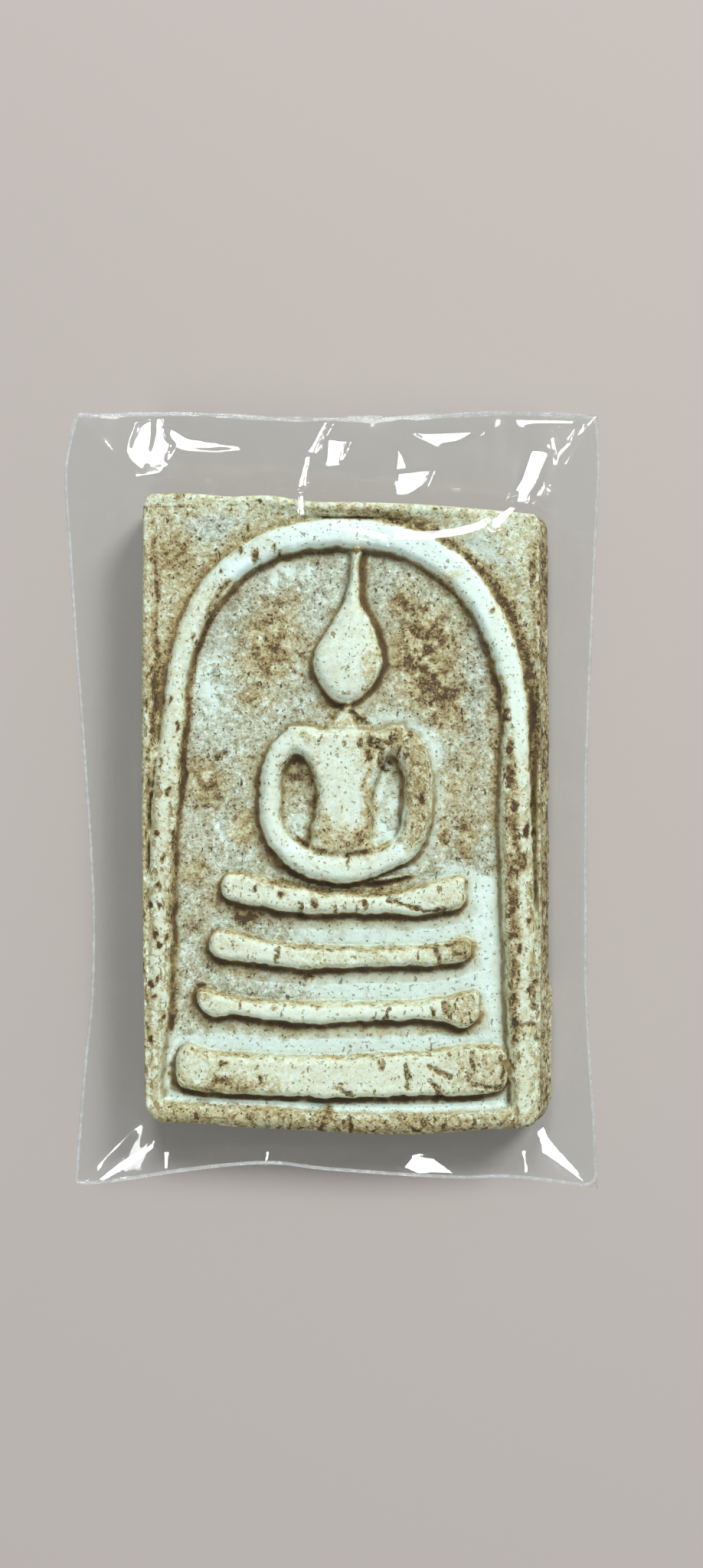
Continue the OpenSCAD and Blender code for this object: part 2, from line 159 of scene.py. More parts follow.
# Cracks and scratches, and hairlines below them, each a line of places
CRACKS = [
    [(7.56, -14.11), (7.62, -14.9), (7.33, -15.7), (7.60, -16.1)],
    [(7.60, -16.02), (8.40, -16.15), (9.30, -16.07), (9.38, -15.2), (9.29, -14.43)],
    [(5.05, -14.93), (5.60, -15.25), (6.19, -15.48)],
    [(5.05, -15.75), (5.40, -16.1), (5.64, -16.67)],
    [(-0.55, -16.2), (-0.10, -16.5), (0.35, -16.6)],
    [(2.00, -14.6), (2.10, -15.2)],
    [(3.55, -14.9), (3.80, -15.6), (3.70, -16.1)],
    [(2.60, -5.0), (3.60, -5.45), (4.60, -5.72), (5.90, -5.80)],
    [(1.10, -5.15), (1.20, -5.75)],
    [(-2.65, -5.2), (-2.55, -5.95)],
    [(-3.9, -8.1), (-4.15, -8.6), (-3.95, -8.9)],
    [(5.35, -7.9), (5.50, -8.9)],
    [(5.90, -11.2), (6.15, -11.9)],
    [(2.55, -11.6), (2.30, -12.2)],
    [(-7.65, 3.3), (-7.20, 3.65)],
    [(10.9, 14.8), (11.2, 14.2), (11.1, 13.6)],
    [(11.25, -9.9), (11.05, -10.6), (11.30, -11.5)],
    [(10.1, -12.2), (10.7, -12.6), (11.2, -12.5)],
    [(0.42, 5.95), (0.72, 5.62), (1.10, 5.48), (1.50, 5.34)],
    [(0.50, 5.78), (0.90, 5.44), (1.20, 5.36)],
    [(1.3, 4.7), (1.55, 4.1), (2.2, 3.7), (2.0, 3.1), (2.4, 2.5)],
    [(1.9, 4.35), (2.45, 4.1), (2.9, 4.3)],
    [(2.6, 3.3), (3.0, 2.9), (2.9, 2.4)],
    [(0.9, 4.3), (1.0, 3.9)],
    [(0.2, -17.95), (0.3, -18.4)],
    [(-3.2, -17.9), (-3.1, -18.4)],
    [(-5.6, -17.8), (-5.4, -18.3)],
    [(4.5, -17.9), (4.7, -18.5)],
]
THIN_CRACKS = [
    [(-12.0, 18.05), (-10.2, 18.12), (-8.2, 18.20), (-6.2, 18.30), (-4.9, 18.36)],
    [(11.66, -10.2), (11.72, -12.0), (11.70, -14.2), (11.62, -16.2)],
    [(-3.4, -7.85), (-1.8, -8.02), (0.4, -7.98), (2.2, -8.05)],
]
# Brown creases along the legs of the arch, the rims and the lap: half width, how dirty, then the
# places. The one along the lap's inner edge is painted shade as well as dirt.
CREASES = [
    (0.25, 0.74, [(-6.9, 13.75), (-7.5, 12.85), (-8.2, 11.3), (-8.83, 9.3), (-9.2, 7.0), (-9.45, 4.6),
                  (-9.70, 1.2), (-9.95, -1.5), (-10.12, -4.5), (-10.2, -9.0), (-10.28, -12.8)]),
    (0.46, 0.66, [(9.10, 8.0), (9.62, 4.8), (9.90, 1.0), (10.0, -4.0), (10.0, -9.0),
                  (10.05, -13.2)]),
    (0.16, 0.34, [(11.22, 16.0), (11.16, 9.0), (11.14, 2.0), (11.20, -5.0), (11.24, -11.0)]),
    (0.20, 0.44, [(-11.20, 16.2), (-11.12, 11.0), (-11.22, 7.0), (-11.55, 3.0), (-11.72, -2.0)]),
    (0.12, 0.26, [(-11.70, -2.0), (-11.72, -8.0), (-11.66, -14.0)]),
    (0.12, 0.34, [(11.55, 16.4), (11.52, 11.0), (11.56, 4.0), (11.60, -6.0)]),
    # Along the lap's inner edge: dirt, and painted shade where the trunk meets the raised lap
    (0.26, 0.70, [(-2.86, -1.46), (-1.57, -2.12), (0.06, -2.38), (1.85, -2.12), (3.20, -1.55)]),
]
# Chips, where a flake of powder is lost: x, y, half width, half length
CHIPS = [
    (-5.27, 15.22, 0.17, 0.40), (-6.13, 15.65, 0.12, 0.20), (-4.14, 15.79, 0.08, 0.20),
    (-3.92, 15.43, 0.15, 0.11), (-7.33, 14.37, 0.09, 0.15), (-8.97, 10.46, 0.10, 0.30),
    (-2.43, 8.26, 0.11, 0.10), (-5.27, -4.37, 0.14, 0.24), (-3.78, -4.79, 0.12, 0.22),
    (-1.82, -5.29, 0.20, 0.34), (-0.52, -5.71, 0.12, 0.16), (-0.09, -5.50, 0.09, 0.13),
    (-2.15, -9.69, 0.36, 0.16), (-4.14, -11.46, 0.14, 0.11), (-6.20, -11.25, 0.09, 0.20),
    (-7.12, -14.74, 0.28, 0.13), (-5.20, -14.95, 0.11, 0.13), (-0.23, -15.94, 0.16, 0.12),
    (-1.37, -18.64, 0.12, 0.40), (-3.20, -18.57, 0.12, 0.30), (0.34, -18.50, 0.12, 0.34),
    (-10.96, -4.29, 0.16, 0.30), (-11.17, -7.27, 0.12, 0.30), (-10.96, -7.77, 0.13, 0.20),
    (-10.53, -7.40, 0.09, 0.22), (-11.38, -10.05, 0.17, 0.26), (-11.00, -9.70, 0.10, 0.20),
    (-11.45, -5.43, 0.12, 0.16), (-10.96, -5.43, 0.11, 0.13), (-11.24, -10.8, 0.12, 0.16),
    (-10.74, -12.0, 0.10, 0.20), (-11.45, -13.38, 0.13, 0.30), (-10.70, -2.6, 0.12, 0.30),
    (-11.10, -1.2, 0.14, 0.24), (-10.40, 1.3, 0.12, 0.34), (-10.85, 3.1, 0.12, 0.24),
    (-9.90, 5.2, 0.12, 0.30), (-10.30, 6.8, 0.10, 0.24), (1.41, 3.40, 0.17, 0.36),
    (1.56, 4.32, 0.12, 0.30), (1.91, 3.90, 0.17, 0.12), (2.98, 4.82, 0.16, 0.18),
    (3.83, 4.68, 0.16, 0.18), (0.00, 4.18, 0.11, 0.20), (4.61, 0.91, 0.13, 0.30),
    (0.20, -2.78, 0.09, 0.26), (0.77, -5.55, 0.08, 0.26), (4.32, -8.45, 0.08, 0.30),
    (6.67, -8.22, 0.30, 0.14), (1.77, -12.06, 0.10, 0.16), (5.25, -11.78, 0.14, 0.26),
    (0.95, 5.62, 0.42, 0.10), (9.55, 5.9, 0.18, 0.44), (9.75, 3.9, 0.24, 0.50),
    (9.72, 2.2, 0.20, 0.60), (10.05, 0.4, 0.22, 0.36), (10.75, -1.0, 0.16, 0.44),
    (10.5, -2.8, 0.26, 0.50), (9.95, -5.2, 0.18, 0.50), (10.85, -6.3, 0.16, 0.18),
    (10.3, -8.0, 0.12, 0.34), (10.9, -10.4, 0.12, 0.30), (8.7, 12.0, 0.16, 0.14),
    (9.9, 9.9, 0.12, 0.14),
]
# Stains and clean patches: x, y, half width, half length, how much dirtier or, below 0, cleaner,
# and how ochre instead of grey. Three of them hold painted shade, marked below.
PATCHES = [
    (-10.1, 15.1, 1.0, 1.6, 0.26, 0.9), (-11.2, 9.0, 0.4, 5.0, 0.16, 0.8),
    (-8.0, 17.0, 1.4, 0.8, -0.06, 0.0), (-4.3, 10.1, 1.8, 2.8, 0.25, 0.9),
    (-5.4, 6.9, 1.0, 1.0, 0.12, 0.7), (-3.4, 12.6, 1.0, 0.6, 0.10, 0.6),
    (4.8, 9.4, 1.8, 3.1, 0.34, 1.0), (6.2, 6.4, 1.3, 1.4, 0.20, 0.8),
    (3.4, 12.4, 0.9, 1.0, 0.16, 0.8), (-8.2, 1.9, 1.1, 1.7, 0.24, 0.9),
    (-6.3, -0.9, 0.8, 1.2, 0.26, 0.9), (-8.9, -3.6, 0.7, 0.8, 0.18, 0.8),
    (7.3, -1.6, 0.6, 1.6, 0.26, 0.9), (6.1, -1.3, 0.4, 1.0, 0.20, 0.9),
    (-8.9, -6.2, 0.8, 1.0, 0.14, 0.5), (-5.6, -6.2, 0.75, 0.42, 0.80, 0.9),
    (-4.4, 14.4, 2.6, 0.9, -0.28, 0.0), (-8.0, 7.4, 1.2, 2.6, -0.20, 0.0),
    (7.9, 8.4, 0.6, 4.2, -0.12, 0.0), (6.2, 14.0, 0.9, 0.5, 0.20, 0.9),
    # The first patch on the next line, on the lower trunk above the lap, is stain and painted shade
    # together
    (0.0, -1.5, 1.9, 0.8, 0.34, 1.0), (1.35, 0.4, 0.45, 2.6, 0.38, 1.0),
    (0.9, 5.9, 0.45, 0.35, 0.30, 0.9), (-0.75, 6.0, 0.35, 0.4, 0.24, 0.9),
    (-1.3, -0.6, 0.4, 1.2, 0.22, 0.8), (2.2, 4.1, 1.5, 0.9, 0.34, 1.0),
    (4.2, 1.0, 0.8, 2.4, 0.10, 1.0), (-1.9, 4.6, 1.0, 0.4, 0.16, 0.8),
    (1.5, 8.6, 0.5, 1.2, 0.20, 1.0), (0.2, -4.4, 4.4, 0.36, 0.20, 0.9),
    (-4.4, -4.1, 1.2, 0.3, 0.24, 0.8), (-8.0, -16.1, 1.9, 0.5, 0.34, 1.0),
    (-5.6, -15.9, 1.9, 0.6, 0.28, 1.0), (8.4, -15.2, 1.6, 1.2, 0.10, 1.0),
    (7.1, -11.7, 1.2, 0.8, 0.24, 1.0), (7.0, -8.0, 0.8, 0.7, 0.28, 1.0),
    (5.8, -5.2, 1.4, 0.5, 0.10, 1.0), (-8.3, -10.5, 0.5, 0.4, 0.34, 1.0),
    (-2.0, -5.4, 5.0, 0.25, 0.08, 0.8), (-0.95, -17.5, 0.5, 0.45, 0.40, 0.9),
    (11.2, 12.5, 0.5, 4.5, 0.08, 0.9), (11.4, 4.0, 0.5, 6.0, 0.10, 0.9),
    (9.6, 12.6, 0.8, 1.4, 0.14, 0.9), (9.0, 3.0, 0.4, 3.0, 0.16, 0.6),
    (-10.0, 19.0, 1.8, 0.3, 0.26, 1.0), (7.6, 15.6, 1.4, 0.8, -0.12, 0.2),
    (-7.2, -0.5, 0.5, 0.7, -0.45, 0.0), (-6.9, -1.6, 0.3, 0.6, -0.3, 0.0),
    # The two patches on the next line, at the top of the gap left of the trunk and along the trunk's
    # left side, are painted shade
    (-3.0, 2.3, 0.7, 1.4, 0.30, 0.6), (-1.75, 1.4, 0.35, 1.9, 0.34, 0.9),
    (3.1, -0.4, 0.6, 1.6, -0.40, 0.0), (3.0, 2.7, 0.5, 0.5, 0.16, 0.5),
    (-2.9, -0.9, 0.5, 1.0, -0.32, 0.0), (0.3, -12.95, 9.0, 0.35, 0.14, 0.4),
]


def mix(a, b, share):
    """The value that lies the given share of the way from a to b."""
    return a + (b - a) * share


def ease(value):
    """Smooth step: 0 below 0, 1 above 1, and three squares less two cubes between them."""
    value = np.clip(value, 0, 1)
    return value * value * (3 - 2 * value)


def speckle(x, y, size, seed):
    """Smooth random field from -1 to 1. Random heights stand on a lattice, one every `size`, and a
    point takes those of the four corners round it, weighted by the smooth step of its place."""
    lattice = np.random.default_rng(seed).uniform(-1, 1, (256, 256))
    across, up = x / size + 100.37, y / size + 100.71
    i, j = np.floor(across).astype(int), np.floor(up).astype(int)
    s, t = ease(across - i), ease(up - j)
    low = mix(lattice[i % 256, j % 256], lattice[(i + 1) % 256, j % 256], s)
    high = mix(lattice[i % 256, (j + 1) % 256], lattice[(i + 1) % 256, (j + 1) % 256], s)
    return mix(low, high, t)


def curve(points, count):
    """Smooth path through a few points. Between two of them it is the cubic that leaves each one in
    the direction of the line between its neighbours. Further columns, such as a half width, follow."""
    points = np.array(points, float)
    slopes = np.gradient(points, axis=0)
    t = np.linspace(0, len(points) - 1, count)
    k = np.minimum(t.astype(int), len(points) - 2)
    s = (t - k)[:, None]
    start, end = points[k], points[k + 1]
    bend = (s**3 - 2 * s**2 + s) * slopes[k] + (s**3 - s**2) * slopes[k + 1]
    return mix(start, end, 3 * s**2 - 2 * s**3) + bend


def path_gap(x, y, path):
    """Distance outwards from the edge of a band along a path of (x, y, half width): the least, over
    the pieces of the path, of the distance to the piece less its half width there."""
    gap = np.full(x.shape, 99.0)
    for (ax, ay, aw), (bx, by, bw) in zip(path[:-1], path[1:]):
        dx, dy = bx - ax, by - ay
        share = np.clip(((x - ax) * dx + (y - ay) * dy) / (dx * dx + dy * dy + 1e-12), 0, 1)
        reach = np.hypot(x - ax - share * dx, y - ay - share * dy) - mix(aw, bw, share)
        gap = np.minimum(gap, reach)
    return gap


def bar_gap(x, y, rows, radius):
    """Distance outwards from the edge of a bar between two curves over x, with rounded ends: that
    of a rounded box whose middle height and half thickness follow the curves."""
    sample = curve(rows, 80)
    bottom = np.interp(x, sample[:, 0], sample[:, 1])
    top = np.interp(x, sample[:, 0], sample[:, 2])
    out_x = np.abs(x - (rows[0][0] + rows[-1][0]) / 2) - (rows[-1][0] - rows[0][0]) / 2 + radius
    out_y = np.abs(y - (bottom + top) / 2) - (top - bottom) / 2 + radius
    return np.hypot(np.maximum(out_x, 0), np.maximum(out_y, 0)) + np.minimum(
        np.maximum(out_x, out_y), 0) - radius


def dome(gap, shoulder):
    """Height share of a ridge with a rounded edge: a quarter of an ellipse that rises from 0 at the
    edge to 1 one shoulder's width inside it."""
    inside = np.clip(-gap / shoulder, 0, 1)
    return np.sqrt(1 - (1 - inside) ** 2)


def tablet_plan(u, v, spread):
    """Place on the tablet of a point of the unit square: straight between the four trimmed corners,
    which lie out by the given share of the spread, with bowed ends and a slight bulge of the long
    sides. Near an end a row is drawn in by r less the root of r squared less (r less the distance
    to the end) squared."""
    reach = [spread * side for side in SPREAD]
    places = []
    for name in ("bottom left", "bottom right", "top right", "top left"):
        cx, cy, r = CORNERS[name]
        places.append((
            cx * half_w + (-reach[0] if cx < 0 else reach[1]),
            cy * half_l + (-reach[2] if cy < 0 else reach[3]),
            r,
        ))
    bl, br, tr, tl = np.array(places)
    bows = curve(END_BOWS, 90)
    bulge = side_bulge * np.sin(np.pi * v)
    left = mix(bl[0], tl[0], v) - bulge
    right = mix(br[0], tr[0], v) + 0.3 * bulge

    def pull(low_r, high_r):
        """How far a row is drawn in by the round corners at its two ends."""
        low_d, high_d = v * 2 * half_l, (1 - v) * 2 * half_l
        near = np.where(v < 0.5, low_d, high_d)
        r = np.where(v < 0.5, low_r, high_r)
        return r - np.sqrt(r * r - np.maximum(r - near, 0) ** 2)

    x = mix(left + pull(bl[2], tl[2]), right - pull(br[2], tr[2]), u)
    low = mix(bl[1], br[1], u) - np.interp(u, bows[:, 0], bows[:, 1])
    high = mix(tl[1], tr[1], u) + np.interp(u, bows[:, 0], bows[:, 2])
    return x, mix(low, high, v)


def nearer(a, b):
    """Of two signed distances the one that is nearer to 0, point by point."""
    return np.where(np.abs(a) < np.abs(b), a, b)


def fused(a, b, width):
    """Gap of two forms that run into each other: the smaller of the two gaps, less a fillet that is
    a quarter of the width deep where they are equal and gone where they differ by the width."""
    near = np.clip(1 - np.abs(a - b) / width, 0, 1)
    return np.minimum(a, b) - near * near * width / 4


# Rows lie close together through the rounded corners and evenly between them
corner_steps = 9
widest_r = max(corner[2] for corner in CORNERS.values())
columns = int(2 * half_w / cell)
corner_v = widest_r / (2 * half_l) * (1 - np.cos(np.linspace(0, np.pi / 2, corner_steps)))
even_v = np.linspace(corner_v[-1], 1 - corner_v[-1], int((2 * half_l - 2 * widest_r) / cell))
rows_v = np.concatenate([corner_v[:-1], even_v, 1 - corner_v[-2::-1]])
u, v = np.meshgrid(np.linspace(0, 1, columns + 1), rows_v)
x, y = tablet_plan(u, v, 0)

# Distances outwards from the edge of each raised form, with edges worn uneven
wear = 0.070 * speckle(x, y, 0.9, 1) + 0.050 * speckle(x, y, 0.33, 2)
left_x, _ = tablet_plan(0 * u, v, 0)
right_x, _ = tablet_plan(0 * u + 1, v, 0)
_, bottom_y = tablet_plan(u, 0 * v, 0)
_, top_y = tablet_plan(u, 0 * v + 1, 0)
from_bottom = (y - bottom_y) * rim_edge_r / bottom_edge_r
from_edge = np.minimum(np.minimum(x - left_x, right_x - x), np.minimum(from_bottom, top_y - y))
# The left rim is thin at the top, widest where the leg of the arch parts from it, and thin again
left_rim_w = 0.45 + 0.5 * ease((y + 1) / 6) - 0.4 * ease((y - 8) / 3)
rim_gap = wear + np.minimum(
    np.minimum(x - left_x - left_rim_w, right_x - x - right_rim_w),
    np.minimum(y - bottom_y - bottom_rim_w, top_y - y - top_rim_w),
)
turn = np.linspace(np.pi, 0, 61)
fullness = np.where(turn > np.pi / 2, arch_fullness_left, arch_fullness_right)
bow_x = arch_half_w * np.sign(np.cos(turn)) * np.abs(np.cos(turn)) ** (2 / fullness)
bow_y = arch_spring_y + arch_rise * np.abs(np.sin(turn)) ** (2 / fullness)
bow_w = 0.64 + 0.24 * ease(np.sin(turn)) + 0.10 * ease(np.cos(turn))
bow = np.column_stack([bow_x, bow_y, bow_w])[(turn > 0.12) & (turn < 3.02)]
arch_line = np.concatenate([curve(LEFT_LEG, 24), bow, curve(RIGHT_LEG, 24)[::-1]])
arch_gap = wear + path_gap(x, y, arch_line)
arms_gap = wear + path_gap(x, y, curve(ARMS, 56))
trunk = curve(TRUNK, 40)
trunk_half = (np.interp(y, trunk[:, 0], trunk[:, 2]) - np.interp(y, trunk[:, 0], trunk[:, 1])) / 2
trunk_x = (np.interp(y, trunk[:, 0], trunk[:, 2]) + np.interp(y, trunk[:, 0], trunk[:, 1])) / 2
trunk_gap = wear + np.maximum(np.abs(x - trunk_x) - trunk_half,
                              np.maximum(y - trunk_top_y - 0.24 * speckle(x, 0 * y, 1.3, 31),
                                         TRUNK[0][0] - y))
egg_y = (y - head_y) / head_half_l
egg_lean = 0.05
egg_half_w = head_half_w * (1 + chin_taper * np.minimum(egg_y, 0) * 0.9)
egg_x = (x - head_x - egg_lean * (y - head_y)) / egg_half_w
head_gap = 0.5 * wear + (np.hypot(egg_x, egg_y) - 1) * (head_half_w + head_half_l) / 2
hair_gap = 0.6 * wear + path_gap(x, y, curve(HAIR, 24))
neck_gap = path_gap(x, y, NECK)
body_gap = fused(arms_gap, trunk_gap, 0.5)
head_gap = fused(head_gap, hair_gap, 0.7)
sliver_gap = path_gap(x, y, curve(SLIVER, 12))
tier_gaps = [wear + bar_gap(x, y, rows, tier_end_r) for rows in TIERS]

# The outside of the arch: over its spring the corners are raised and slope down to the band
over_spring = ease((y - arch_spring_y + 1.5) / 3)
outside = (np.hypot(x / arch_half_w, np.maximum(y - arch_spring_y, 0) / arch_rise) > 0.98) | (
    np.abs(x) > 9.6)
corners_h = np.where(outside, mix(corner_low, corner_high, ease(arch_gap / corner_slope_w)), 0)
corners_h *= over_spring

crown = 0.05 * speckle(x, y, 2.2, 3)
rim_top = rim_h * dome(-from_edge, rim_edge_r) * dome(rim_gap, rim_shoulder)
edge_drop = dome(-from_edge, rim_edge_r)
arch_top = arch_h * dome(arch_gap, arch_shoulder)
body_top = body_h * dome(body_gap, body_shoulder)
head_top = head_h * (0.62 * dome(head_gap, 0.7) + 0.38 * dome(head_gap, 2.1))
hair_top = 0.8 * dome(hair_gap, 0.34)
neck_top = 0.72 * dome(neck_gap, 0.42)
sliver_top = 0.42 * dome(sliver_gap, 0.12)
tiers_top = tier_h * np.max([dome(gap, tier_shoulder) for gap in tier_gaps], axis=0)
height = np.max([rim_top, corners_h * edge_drop, arch_top * edge_drop, body_top,
                 head_top, hair_top, neck_top, sliver_top, tiers_top], axis=0)

# The nearest foot of a form, not counting the feet that another form hides
figure_foot = np.where(body_gap > 0, nearer(body_gap, head_gap), body_gap)
figure_foot = np.where(arch_gap < 0.05, 9, figure_foot)
tier_foot = tier_gaps[0]
for gap in tier_gaps[1:]:
    tier_foot = nearer(tier_foot, gap)
foot = nearer(figure_foot, tier_foot)
# The foot of the leg ends where the leg runs into the bottom rim
foot = nearer(foot, np.where(rim_gap < 0, np.where(arch_gap < 0.4, -0.9, 9), arch_gap))
foot = nearer(foot, np.where((body_gap > 0) & (head_gap > 0), neck_gap, 9))
foot = np.where((arch_gap > 0) & (corners_h < 0.2), nearer(foot, rim_gap), foot)
foot = nearer(foot, sliver_gap)
raised = ease(height / 0.55)

# Which way the ground falls tells the feet that face away from the key lamp, below and to the left:
# there the brown line is darker and wider, partly dirt that gathers and partly painted shade. The inner
# foot of the arch and the right side of the head hold as much.
fall_v, fall_u = np.gradient(foot)
turned = -(0.3 * fall_u + 0.95 * fall_v) / np.maximum(np.hypot(fall_u, fall_v), 1e-6)
dirt_and_shade_line = np.clip(0.50 + 0.50 * turned, 0.12, 1)
at_arch = ease(1 - np.abs(foot - arch_gap) / 0.1) * ~outside
dirt_and_shade_line = mix(dirt_and_shade_line, mix(0.82, 0.50, ease((x - 1) / 4)), at_arch * ease((y - 9) / 3))
dirt_and_shade_line = mix(dirt_and_shade_line, np.minimum(dirt_and_shade_line, 0.50), at_arch * ease((9 - y) / 3))
at_head = ease(1 - np.abs(foot - head_gap) / 0.1)
at_spire = at_head * ease((y - 10.6) / 1.0)
dirt_and_shade_line = np.maximum(dirt_and_shade_line, at_head * ease((x - 0.6) / 1.2))
dirt_and_shade_line = mix(dirt_and_shade_line, mix(0.34, 0.9, ease((x - 0.45) / 0.3)), at_spire)
in_gaps = ease((2.9 - np.abs(x - 0.2)) / 0.5) * ease((y + 2.2) / 0.6)
in_gaps = in_gaps * ease((4.2 - y) / 0.6) * (body_gap < 1.2)
dirt_and_shade_line = dirt_and_shade_line * (1 - 0.42 * in_gaps)
at_shoulders = ease(1 - np.abs(foot - body_gap) / 0.1) * ease((y - 4) / 1)
dirt_and_shade_line = np.maximum(dirt_and_shade_line, 0.34 * at_shoulders)
dirt_and_shade_line = mix(dirt_and_shade_line, 0.06, ease(0.5 - neck_gap / 0.15) * (head_gap > 0.25))
no_line = 0.01
dirt_and_shade_line = mix(no_line, dirt_and_shade_line, ease(from_edge / 0.25))

# How dirty each place is, from 0 for white powder to 1 for brown, with painted shade added in further on
beside_figure = np.minimum(body_gap, head_gap)
ragged = 0.9 * speckle(x, y, 1.7, 4) + 0.5 * speckle(x, y, 0.6, 5)
hug = ease(1 - (beside_figure - 0.30 + 0.3 * ragged) / 0.8) * ease((x + 1.0) / 3) * ease((y + 4.4) / 1.5)
below_line = -1.7 - 0.52 * (x - 5.4) - y
right_of_seat = ease((x - 4.6 - 0.5 * (y + 3.4) + ragged) / 1.4)
right_of_seat = right_of_seat * ease((below_line + 0.5 * ragged) / 0.9)
right_of_seat = np.maximum(right_of_seat, 0.8 * ease((x - 8.3 + ragged) / 1.0) * ease((6 - y) / 6))
between_tiers = ease((x + 6.4 + 2 * ragged) / 5) * ease((-5.4 - y) / 2)
low_strip = ease((-12.3 - y + 0.7 * ragged) / 1.2) * ease(rim_gap / 0.3)
chalk = np.maximum.reduce([0.72 * hug, right_of_seat, 0.85 * between_tiers, low_strip])
chalk = ease(chalk * (1 + 0.3 * speckle(x, y, 0.5, 18)))
field_soil = mix(mix(0.41, 0.50, ease((x - 4) / 4)), 0.06, chalk)
legs = ease((7.0 - y) / 8)
arch_soil = mix(mix(0.17, 0.0, ease((x + 6) / 4)), 0.16, legs)
arms_soil = mix(0.10, 0.31, ease((x - 2.6) / 1.2) * ease((y + 2.6) / 1.2))
tiers_soil = 0.08 + 0.12 * ease((x + 5) / 3) * ease((-6.5 - y) / 0.5) * ease((y + 9.8) / 0.5)
tiers_soil = tiers_soil + 0.06 * ease((-13 - y) / 0.5) + 0.08 * ease((np.abs(x) - 4) / 4)
rim_soil = mix(0.29, 0.25, ease(-x / 6)) + 0.18 * ease((-12 - y) / 4) - 0.02 * ease((y - 16.5) / 1)
on_tiers = ease(-np.min(tier_gaps, axis=0) / 0.2 + 0.3)
on_rim = ease(-rim_gap / 0.3 + 0.3)
on_arch = ease(-arch_gap / 0.2 + 0.3)
on_figure = ease(-np.minimum(trunk_gap, head_gap) / 0.2 + 0.3)
on_arms = ease(-arms_gap / 0.2 + 0.3)
on_corners = 1.0 * (outside & (y > 2))
soil_and_shade = mix(field_soil, tiers_soil, on_tiers)
soil_and_shade = mix(soil_and_shade, mix(0.30, 0.40, ease(-x / 6)), on_corners)
soil_and_shade = mix(soil_and_shade, rim_soil, on_rim)
soil_and_shade = mix(soil_and_shade, arch_soil, on_arch)
soil_and_shade = mix(soil_and_shade, 0.13, on_figure)
soil_and_shade = mix(soil_and_shade, arms_soil, on_arms)
on_neck = ease(-neck_gap / 0.15 + 1) * (body_gap > 0) * (head_gap > 0)
soil_and_shade = mix(soil_and_shade, 0.30, on_neck)
# How ochre instead of grey the dirt is
ochre = 0.25 + 0.10 * ease((10 - y) / 4) + 0.20 * ease((x - 2) / 5) * ease((y + 2) / 4)
ochre = ochre + 0.18 * speckle(x, y, 1.4, 26)
ochre = mix(ochre, 0, 0.8 * chalk)
ochre = mix(ochre, 0.85, on_tiers)
ochre = mix(ochre, 0.65, on_corners)
ochre = mix(ochre, 0.85, on_rim)
ochre = mix(ochre, mix(0.75, 0.35, ease((y - 12.5) / 2)), on_arch)
ochre = mix(ochre, 0.6, np.maximum(on_figure, on_arms))
ochre = mix(ochre, 1.0, on_neck)
warp_x = x + 0.34 * speckle(x, y, 0.8, 6) + 0.16 * speckle(x, y, 0.3, 21)
warp_y = y + 0.34 * speckle(x, y, 0.8, 7) + 0.16 * speckle(x, y, 0.3, 22)
in_grains = ease(0.66 + 0.8 * speckle(x, y, 0.5, 30) + 0.5 * speckle(x, y, 0.24, 32))
in_grains = mix(in_grains, 0.75, raised)
for px, py, rx, ry, amount, hue in PATCHES:
    share = np.exp(-(((warp_x - px) / rx) ** 2 + ((warp_y - py) / ry) ** 2) ** 1.4)
    soil_and_shade = soil_and_shade + 1.6 * amount * share * in_grains
    ochre = mix(ochre, hue, share)
# Smooth brown shade at the outer foot of the arch
shade = mix(0.16, 0.60, ease((x + 1) / 4)) * ease(1 - np.abs(arch_gap - 0.26) / 0.60)
shade = shade * outside * over_spring
soil_and_shade = soil_and_shade + shade
ochre = mix(ochre, 0.95, ease(2 * shade))
beside_head = ease(1 - np.abs(head_gap) / 0.5) * ease((x - 0.2) / 0.6)
soil_and_shade = soil_and_shade + 0.16 * beside_head
ochre = mix(ochre, 0.95, beside_head)
furrow = 0 * x
# Brown along each crease; along the lap's inner edge it is painted shade as well as dirt
for half, amount, places in CREASES:
    path = [(px, py, 0) for px, py in curve(places, 4 * len(places))]
    beside = path_gap(x + 0.16 * speckle(x, y, 0.7, 23), y, path)
    broken_up = 0.62 + 0.75 * speckle(x * 1.6, y * 0.7, 0.6, 24) + 0.3 * speckle(x, y, 0.25, 25)
    patchy = mix(0.35, 1, ease(broken_up))
    crease_stain_and_shade = ease(1.15 - beside / half) * patchy
    soil_and_shade = soil_and_shade + amount * crease_stain_and_shade
    ochre = mix(ochre, 0.95, crease_stain_and_shade)
    furrow = np.maximum(furrow, amount * crease_stain_and_shade)
# Thin brown line along the upper edge of each tier
for rows in TIERS:
    upper = curve(rows, 80)
    beside = np.abs(y - np.interp(x, upper[:, 0], upper[:, 2]) + 0.10 + 0.10 * speckle(x, y, 0.7, 19))
    within = ease((x - rows[0][0]) / 1.5) * ease((rows[-1][0] - x) / 1.0)
    upper_line = ease(1 - beside / 0.14) * within * ease(0.75 + 0.6 * speckle(x, y, 1.5, 20))
    soil_and_shade = soil_and_shade + 0.42 * upper_line
    ochre = mix(ochre, 1, upper_line)
shaken_x = x + 0.11 * speckle(x, y, 0.25, 27)
shaken_y = y + 0.11 * speckle(x, y, 0.25, 28)
hole = 0 * x
for px, py, rx, ry in CHIPS:
    reach = np.hypot((shaken_x - px) / rx, (shaken_y - py) / ry)
    hole = np.maximum(hole, ease((1.35 - reach) / 0.6))
soil_and_shade = mix(soil_and_shade, np.maximum(soil_and_shade, 0.95), hole)
ochre = mix(ochre, 0.9, hole)

# Values that mean that no foot and no crack is near
no_foot, no_crack = 2, 9.0
